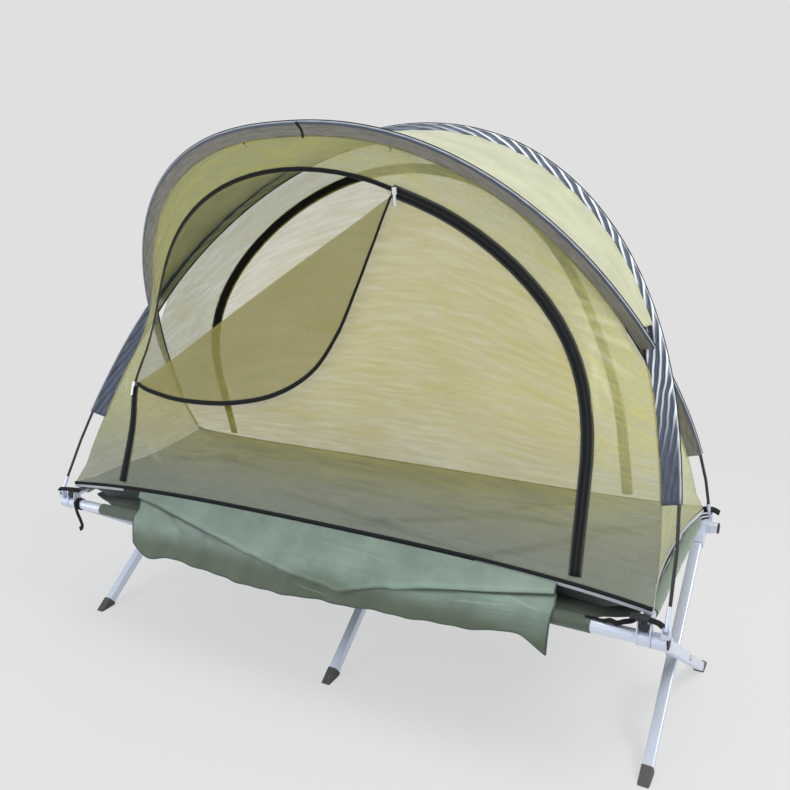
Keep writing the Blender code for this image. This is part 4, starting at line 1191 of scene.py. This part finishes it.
class TENTCOT_OT_apron(Operator):
    """Hangs the storm apron from the seam over the front rail"""

    bl_idname = "tentcot.apron"
    bl_label = "Storm Apron"

    def execute(self, context):
        tints, cut = colours(), sizes()
        hem = ((0.082, 0.112, 0.060), 0.425, 0.360)
        cloth = cloth_paint("apron_cloth", tints.apron, gloss=0.40, fold=0.0034, vary=0.20, hem=hem)
        over = RAIL_Z + RAIL_R
        low = over - 0.018
        hem_x, hem_z = smoothed(APRON_HEM, 121).T
        stops = np.array([0.0, 0.16, 0.30, 0.40, 0.50, 0.76, 1.0])

        def below_fold(u, v):
            """How far below the long fold a place is, in twentieths of the apron's height."""
            return (v - np.interp(u, *np.array(APRON_FOLD).T)) / 0.05

        def place(u, v):
            left = np.interp(v, [0, 0.3, 1], [-0.635, -0.600, APRON_HEM[0][0]])
            right = np.interp(v, [0, 0.3, 1], [0.665, 0.676, APRON_HEM[-1][0]])
            x = left * (1 - u) + right * u
            seam = seam_point(x, -1)
            low_z = np.interp(x, hem_x, hem_z)
            same = np.ones_like(u)
            ys = [seam[:, 1] - 0.004,
                  *(same * (-CENTRE_Y - off) for off in (0.268, 0.294, 0.3145, 0.3235, 0.327, 0.330))]
            zs = [seam[:, 2] - 0.006, *(same * (over + rise) for rise in (0.028, 0.009, -0.001)),
                  same * low, 0.5 * (low + low_z), low_z]
            k = np.minimum(np.searchsorted(stops, v, side="right") - 1, len(stops) - 2)
            t = (v - stops[k]) / (stops[k + 1] - stops[k])
            rows = np.arange(len(u))
            y, z = (np.stack(a)[k, rows] * (1 - t) + np.stack(a)[k + 1, rows] * t for a in (ys, zs))
            drop = below_fold(u, v)
            shelf = 0.0125 * np.exp(-(np.clip(-drop, 0, None) * 0.42) ** 2) * (drop < 0)
            shelf += 0.0125 * np.clip(1 - drop * 2.2, 0, 1) ** 2 * (drop >= 0)
            s = 2 * u - 1
            wave = 0.004 * np.sin(9 * s) + 0.003 * np.sin(23 * s + 1) + 0.0018 * np.sin(51 * s + 6 * v)
            y = y - shelf * np.clip(v * 9, 0, 1) + wave * np.clip((v - 0.30) * 5, 0, 1) * v
            return np.stack([x, y, z], 1)

        # painted shade just below the long fold, a painted highlight above it, and the creases' painted
        # highlight (+) and shade (-)
        def marks(u, v):
            drop = below_fold(u, v)
            shade = -1.1 * np.exp(-(((drop - 0.55) / 0.80) ** 2))
            shade += 0.40 * np.exp(-(((drop + 0.9) / 0.7) ** 2))
            return shade + creased(u, v, APRON_CREASES)

        piece = gridded("apron_cloth", 240, 72, place, [cloth], cut.cloth_thickness, (1.3, 0.21),
                        marks=marks)
        on_bed(piece, "apron_cloth", "storm_apron", y=-0.345, keep=0.3)
        rim = np.concatenate([
            place(np.zeros(40), np.linspace(0.05, 1, 40)),
            place(np.linspace(0, 1, 200), np.ones(200))[1:-1],
            place(np.ones(40), np.linspace(1, 0.05, 40)),
        ])
        tape = tape_paint("apron_hem", shaded(tints.apron, 0.30))
        edge = tube("apron_hem", rim, 0.0017, tape, facing((0, -1, 0), rim))
        on_bed(edge, "apron_cloth", y=-0.345, keep=0.3)
        return {"FINISHED"}


class TENTCOT_OT_canvas(Operator):
    """Stretches the bed canvas between the rails, sleeved round them, with pockets for the end bars"""

    bl_idname = "tentcot.canvas"
    bl_label = "Bed Canvas"

    def execute(self, context):
        tints, cut = colours(), sizes()
        # painted shade, in part: the canvas colour is darkened for the shade it lies in
        cloth = cloth_paint("bed_canvas", tints.canvas, weave=0.0017, gloss=0.42, vary=0.16)
        radius = RAIL_R + 0.0019
        turns = np.radians(np.linspace(-112, 242, 22))
        wrap = np.stack([RAIL_Y + radius * np.sin(turns), RAIL_Z + radius * np.cos(turns)], 1)
        flat_y = np.linspace(-1, 1, 25)[1:-1]
        inner = np.stack([0.268 * flat_y, RAIL_Z + 0.0135 - 0.010 * (1 - flat_y**2)], 1)
        section = np.vstack([wrap[::-1] * (-1, 1), inner, wrap])
        run = run_along(section)
        run /= run[-1]

        def place(u, v):
            y, z = (np.interp(v, run, axis) for axis in section.T)
            narrow = np.clip((np.abs(y) - 0.235) / 0.03, 0, 1) ** 2
            x = (2 * u - 1) * (CANVAS_HALF - CANVAS_NOTCH * narrow) + 0.004 * narrow
            ripple = 0.0010 * np.sin(x * 60) * np.sin(y * 40) * (1 - narrow)
            return np.stack([x, y - CENTRE_Y, z + ripple], 1)

        piece = gridded("bed_canvas_cloth", 160, 110, place, [cloth], cut.cloth_thickness, (1.7, 0.78))
        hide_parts("bed_canvas", "rail_sleeve_front", "rail_sleeve_rear")
        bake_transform(piece)

        # painted light: a lighter copy of the bed canvas, for the sunlit look of the pockets
        cloth = cloth_paint("end_pocket", (0.175, 0.235, 0.175), weave=0.0017, gloss=0.36, vary=0.10)
        line_y = np.linspace(*POCKET_ENDS, 80)
        for side, end in SIDES:

            def pocket(u, v):
                angle = v * math.tau
                slack = 0.0030 * np.clip(-np.sin(angle + 0.6), 0, 1)
                ripple = 0.0006 * np.sin(u * 23 + 3 * np.sin(angle)) + 0.0004 * np.sin(u * 47)
                reach = BAR_R + 0.0026 + slack + ripple
                y = line_y[nearest(u, line_y)]
                return np.stack([end * BAR_X + np.cos(angle) * reach, y, BAR_Z + np.sin(angle) * reach], 1)

            piece = gridded(f"end_pocket_{side}_cloth", 79, 24, pocket, [cloth], 0.0010, (0.5, 0.09), -1,
                            wrap=True)
            riding(piece, f"end_bar_{side}", "canvas", f"end_pocket_{side}")
        return {"FINISHED"}


class TENTCOT_OT_straps(Operator):
    """Ties the corners: webbing, adjuster, buckle strap, loose tails, and the brow's little ties"""

    bl_idname = "tentcot.straps"
    bl_label = "Straps and Ties"

    def execute(self, context):
        tints = colours()
        black = tape_paint("webbing_black", tints.tape, rib=0.004)
        # painted highlight: a pale strip laid under the seam's binding
        highlight_cloth = cloth_paint("seam_painted_highlight", (0.52, 0.55, 0.58), gloss=0.4, vary=0.1)
        striped = striped_paint("webbing_striped", tints.tape)
        for name, body, wide, way, path in STRAPS:
            points = smoothed(path, 40)
            paint = striped if name == "strap_rear_pad" else black
            piece = ribbon(name, points, facing(way, points), wide, 0.0016, paint, 0, 3, 0.0006)
            riding(piece, body, "zip_tape")
            if body == "rear_frame":
                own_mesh(piece)
        self.loop(black)
        self.seam_highlight_strip(highlight_cloth)
        self.brow_ties(black)
        return {"FINISHED"}

    def loop(self, black):
        """Webbing turned round the front rail's left end."""
        turn = np.linspace(0, math.tau, 41)
        out = np.stack([0 * turn, -np.sin(turn), np.cos(turn)], 1)
        points = np.array([-0.852, -RAIL_Y - CENTRE_Y, RAIL_Z]) + out * (RAIL_R + 0.0024)
        points[:, 0] += 0.004 * np.sin(turn)
        piece = ribbon("strap_loop_left", points, out, 0.016, 0.0016, black, 0, 3)
        riding(piece, "front_frame", "zip_tape")

    def seam_highlight_strip(self, highlight_cloth):
        """A pale strip below the seam, along both ends and round onto the front: a painted highlight on the
        binding.
        """
        below = 0.0075
        for tag, end in SIDES:
            x = np.linspace(0.46 if end > 0 else 0.70, SEAM_HALF, 24)
            front = seam_point(end * x, -1) - np.array([0, 0.0012, below])
            side = end_seam(seam_corner(end, -1), seam_corner(end, 1), end, 30)
            side += (end * 0.0012, 0, -below)
            for name, run, way in (("front", front, (0, -1, 0.15)), ("end", side, (end, 0, 0.15))):
                piece = ribbon(f"seam_silver_{name}_{tag}", run, facing(way, run), 0.010, 0.0007, highlight_cloth,
                               0.0008, 3)
                on_bed(piece, "apron_cloth")

    def brow_ties(self, black):
        """Short ties across the brow sleeve, one at its crown."""
        line = sleeve_line(FRONT_HOOP)
        inward, face = band_ways(FRONT_HOOP, line)
        outer, inner = sleeve_edges(FRONT_HOOP, line)
        for name, k, start in (("tie_crown", 113, 0.0), ("tie_left", 99, 0.040), ("tie_right", 131, 0.040)):
            off = np.linspace(outer[k, 0] + start, inner[k, 0] + 0.004 + start * 0.2, 24)
            lift = 0.0024 + 0.0056 * np.exp(-((off / 0.012) ** 2))
            points = line[k] + np.outer(off, inward[k]) + np.outer(lift, face[k])
            points[:, 0] += 0.004 * np.sin(np.linspace(0, 3, 24))
            piece = ribbon(name, points, facing(face[k], points), 0.005, 0.0010, black, 0, 2)
            riding(piece, "front_hoop", "zip_tape")


class TENTCOT_OT_finishes(Operator):
    """Gives the tubes, brackets, plugs and other hard parts their finishes and softened edges"""

    bl_idname = "tentcot.finishes"
    bl_label = "Metal and Plastic Finishes"

    def execute(self, context):
        tints = colours()
        along = metal_paint("aluminium_rail", tints.aluminium, 0)
        across = metal_paint("aluminium_bar", tints.aluminium, 1)
        upright = metal_paint("aluminium_leg", tints.aluminium, 2, 0.34)
        cast = metal_paint("aluminium_bracket", shaded(tints.aluminium, 0.95), 0, 0.42)
        plastic = moulded_paint("moulded_black", tints.plastic)
        rubber = moulded_paint("worn_boot", (0.085, 0.080, 0.082), 0.55, 420.0)
        pole = moulded_paint("pole_black", shaded(tints.plastic, 0.9), 0.28, 300.0)
        steel = metal_paint("steel_bolt", (0.55, 0.56, 0.58), 0, 0.25)
        finishes = (
            ("rail_plug", plastic), ("rail", along), ("boot", rubber), ("leg", upright),
            ("ferrule", upright), ("bracket", cast), ("bar_hinge", cast), ("end_bar", across),
            ("bolt", steel), ("pole", pole), ("buckle", plastic),
        )
        for name, node in frame["nodes"].items():
            if not node.hide_render:
                self.soften(node, next(paint for key, paint in finishes if key in name))
        for side, end in SIDES:
            centre = (end * BAR_X, BAR_FRONT_Y, BAR_Z)
            piece = plug(f"end_bar_{side}_plug", centre, BAR_R - 0.0002, 0.005, plastic)
            riding(piece, f"end_bar_{side}", "black_plastic")
        return {"FINISHED"}

    def soften(self, node, paint):
        """Gives a CAD node its finish and small rounded edges."""
        node.data.materials.clear()
        node.data.materials.append(paint)
        normals = node.data.attributes.get("custom_normal")
        if normals:
            node.data.attributes.remove(normals)
        node.data.shade_smooth()
        modify(node, "WELD", merge_threshold=WELD)
        modify(node, "BEVEL", width=0.0005, segments=2, limit_method="ANGLE", angle_limit=math.radians(38))
        modify(node, "WEIGHTED_NORMAL", keep_sharp=True)


class TENTCOT_OT_stage(Operator):
    """Sets the pale floor, the soft lamps and the camera"""

    bl_idname = "tentcot.stage"
    bl_label = "Stage, Lamps and Camera"

    def execute(self, context):
        scene = context.scene
        scene.view_settings.view_transform = "Standard"
        self.floor()
        self.world(scene)
        for name, at, energy, size, colour in LAMPS:
            lamp = bpy.data.lights.new(name, "AREA")
            lamp.energy, lamp.size, lamp.color = energy, size, colour
            turn = (LAMPS_AIM - Vector(at)).to_track_quat("-Z", "Y").to_matrix().to_4x4()
            self.stand(scene, lamp, Matrix.Translation(at) @ turn)
        lens = bpy.data.cameras.new("camera")
        lens.sensor_width = 36.0
        lens.lens = CAMERA_LENS
        lens.dof.use_dof = False
        turns = ((CAMERA_AZIMUTH, "Z"), (math.pi / 2 - CAMERA_ELEVATION, "X"), (CAMERA_ROLL, "Z"))
        at = Matrix.Translation(CAMERA_AT)
        for angle, axis in turns:
            at = at @ Matrix.Rotation(angle, 4, axis)
        scene.camera = self.stand(scene, lens, at)
        return {"FINISHED"}

    def stand(self, scene, data, at):
        """Puts a lamp or the camera in its place."""
        holder = bpy.data.objects.new(data.name, data)
        scene.collection.objects.link(holder)
        holder.matrix_world = at
        return holder

    def floor(self):
        bm = bmesh.new()
        bmesh.ops.create_grid(bm, x_segments=1, y_segments=1, size=60.0)
        paint = Paint("studio_floor", roughness=0.95, base_color=(0.80, 0.80, 0.80, 1.0))
        glow = paint.node("ShaderNodeEmission", {}, {"Color": STUDIO_GREY, "Strength": 1.0})
        rays = paint.node("ShaderNodeLightPath", {}, [])
        camera, glossy, through = (
            Field(paint, rays.outputs[f"Is {kind} Ray"]) for kind in ("Camera", "Glossy", "Transmission")
        )
        x, y, _ = paint.axes(paint.place())
        away = (x * x + y * y) ** 0.5
        share = (camera + glossy + through) * (away.step(0.9, 2.6) * 0.25 + 0.75)
        both = paint.node("ShaderNodeMixShader", {}, [share, paint.shader.outputs[0], glow.outputs[0]])
        paint.tree.links.new(both.outputs[0], paint.tree.nodes["Material Output"].inputs[0])
        mesh_piece("studio_floor", bm, [paint.material])

    def world(self, scene):
        scene.world = bpy.data.worlds.new("studio")
        scene.world.use_nodes = True
        sky = Nodes(scene.world.node_tree)
        sky.tree.nodes.clear()
        rays = sky.node("ShaderNodeLightPath", {}, [])
        seen = sky.node("ShaderNodeBackground", {}, {"Color": STUDIO_GREY})
        lit = sky.node("ShaderNodeBackground", {}, {"Color": (0.93, 0.96, 1.0, 1.0), "Strength": 0.62})
        shares = [rays.outputs["Is Camera Ray"], lit.outputs[0], seen.outputs[0]]
        both = sky.node("ShaderNodeMixShader", {}, shares)
        sky.node("ShaderNodeOutputWorld", {}, [both.outputs[0]])


PIECES = (
    TENTCOT_OT_walls, TENTCOT_OT_roof, TENTCOT_OT_sleeves, TENTCOT_OT_zips, TENTCOT_OT_door_flap,
    TENTCOT_OT_tub, TENTCOT_OT_apron, TENTCOT_OT_canvas, TENTCOT_OT_straps, TENTCOT_OT_finishes,
    TENTCOT_OT_stage,
)


class TENTCOT_PT_sidebar(Panel):
    """The tent cot's sizes, colours and pieces"""

    bl_idname = "TENTCOT_PT_sidebar"
    bl_label = "Tent Cot"
    bl_space_type = "VIEW_3D"
    bl_region_type = "UI"
    bl_category = "Tent Cot"

    def draw(self, context):
        for group in (context.scene.tent_cot_sizes, context.scene.tent_cot_colours):
            box = self.layout.box()
            for name in group.__annotations__:
                box.prop(group, name)
        for piece in PIECES:
            self.layout.operator(piece.bl_idname)


CLASSES = (TentCotSizes, TentCotColours, *PIECES, TENTCOT_PT_sidebar)
SURFACES = {}


def register():
    for cls in CLASSES:
        bpy.utils.register_class(cls)
    bpy.types.Scene.tent_cot_sizes = PointerProperty(type=TentCotSizes)
    bpy.types.Scene.tent_cot_colours = PointerProperty(type=TentCotColours)


def unregister():
    del bpy.types.Scene.tent_cot_colours
    del bpy.types.Scene.tent_cot_sizes
    for cls in reversed(CLASSES):
        bpy.utils.unregister_class(cls)


def main():
    for left_over in list(bpy.data.objects):
        if "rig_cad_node" not in left_over and not left_over.name.startswith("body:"):
            bpy.data.objects.remove(left_over, do_unlink=True)
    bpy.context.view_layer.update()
    register()
    SURFACES["front_wall"] = wall_surface(REAR_HOOP, FRONT_HOOP, -1)
    for at, height in SLIDER_PULLS:
        SURFACES["front_wall"] = pulled(SURFACES["front_wall"], *at, height)
    SURFACES["rear_wall"] = wall_surface(FRONT_HOOP, REAR_HOOP, 1)
    for piece in PIECES:
        group, action = piece.bl_idname.split(".")
        getattr(getattr(bpy.ops, group), action)()


if __name__ == "__main__":
    main()
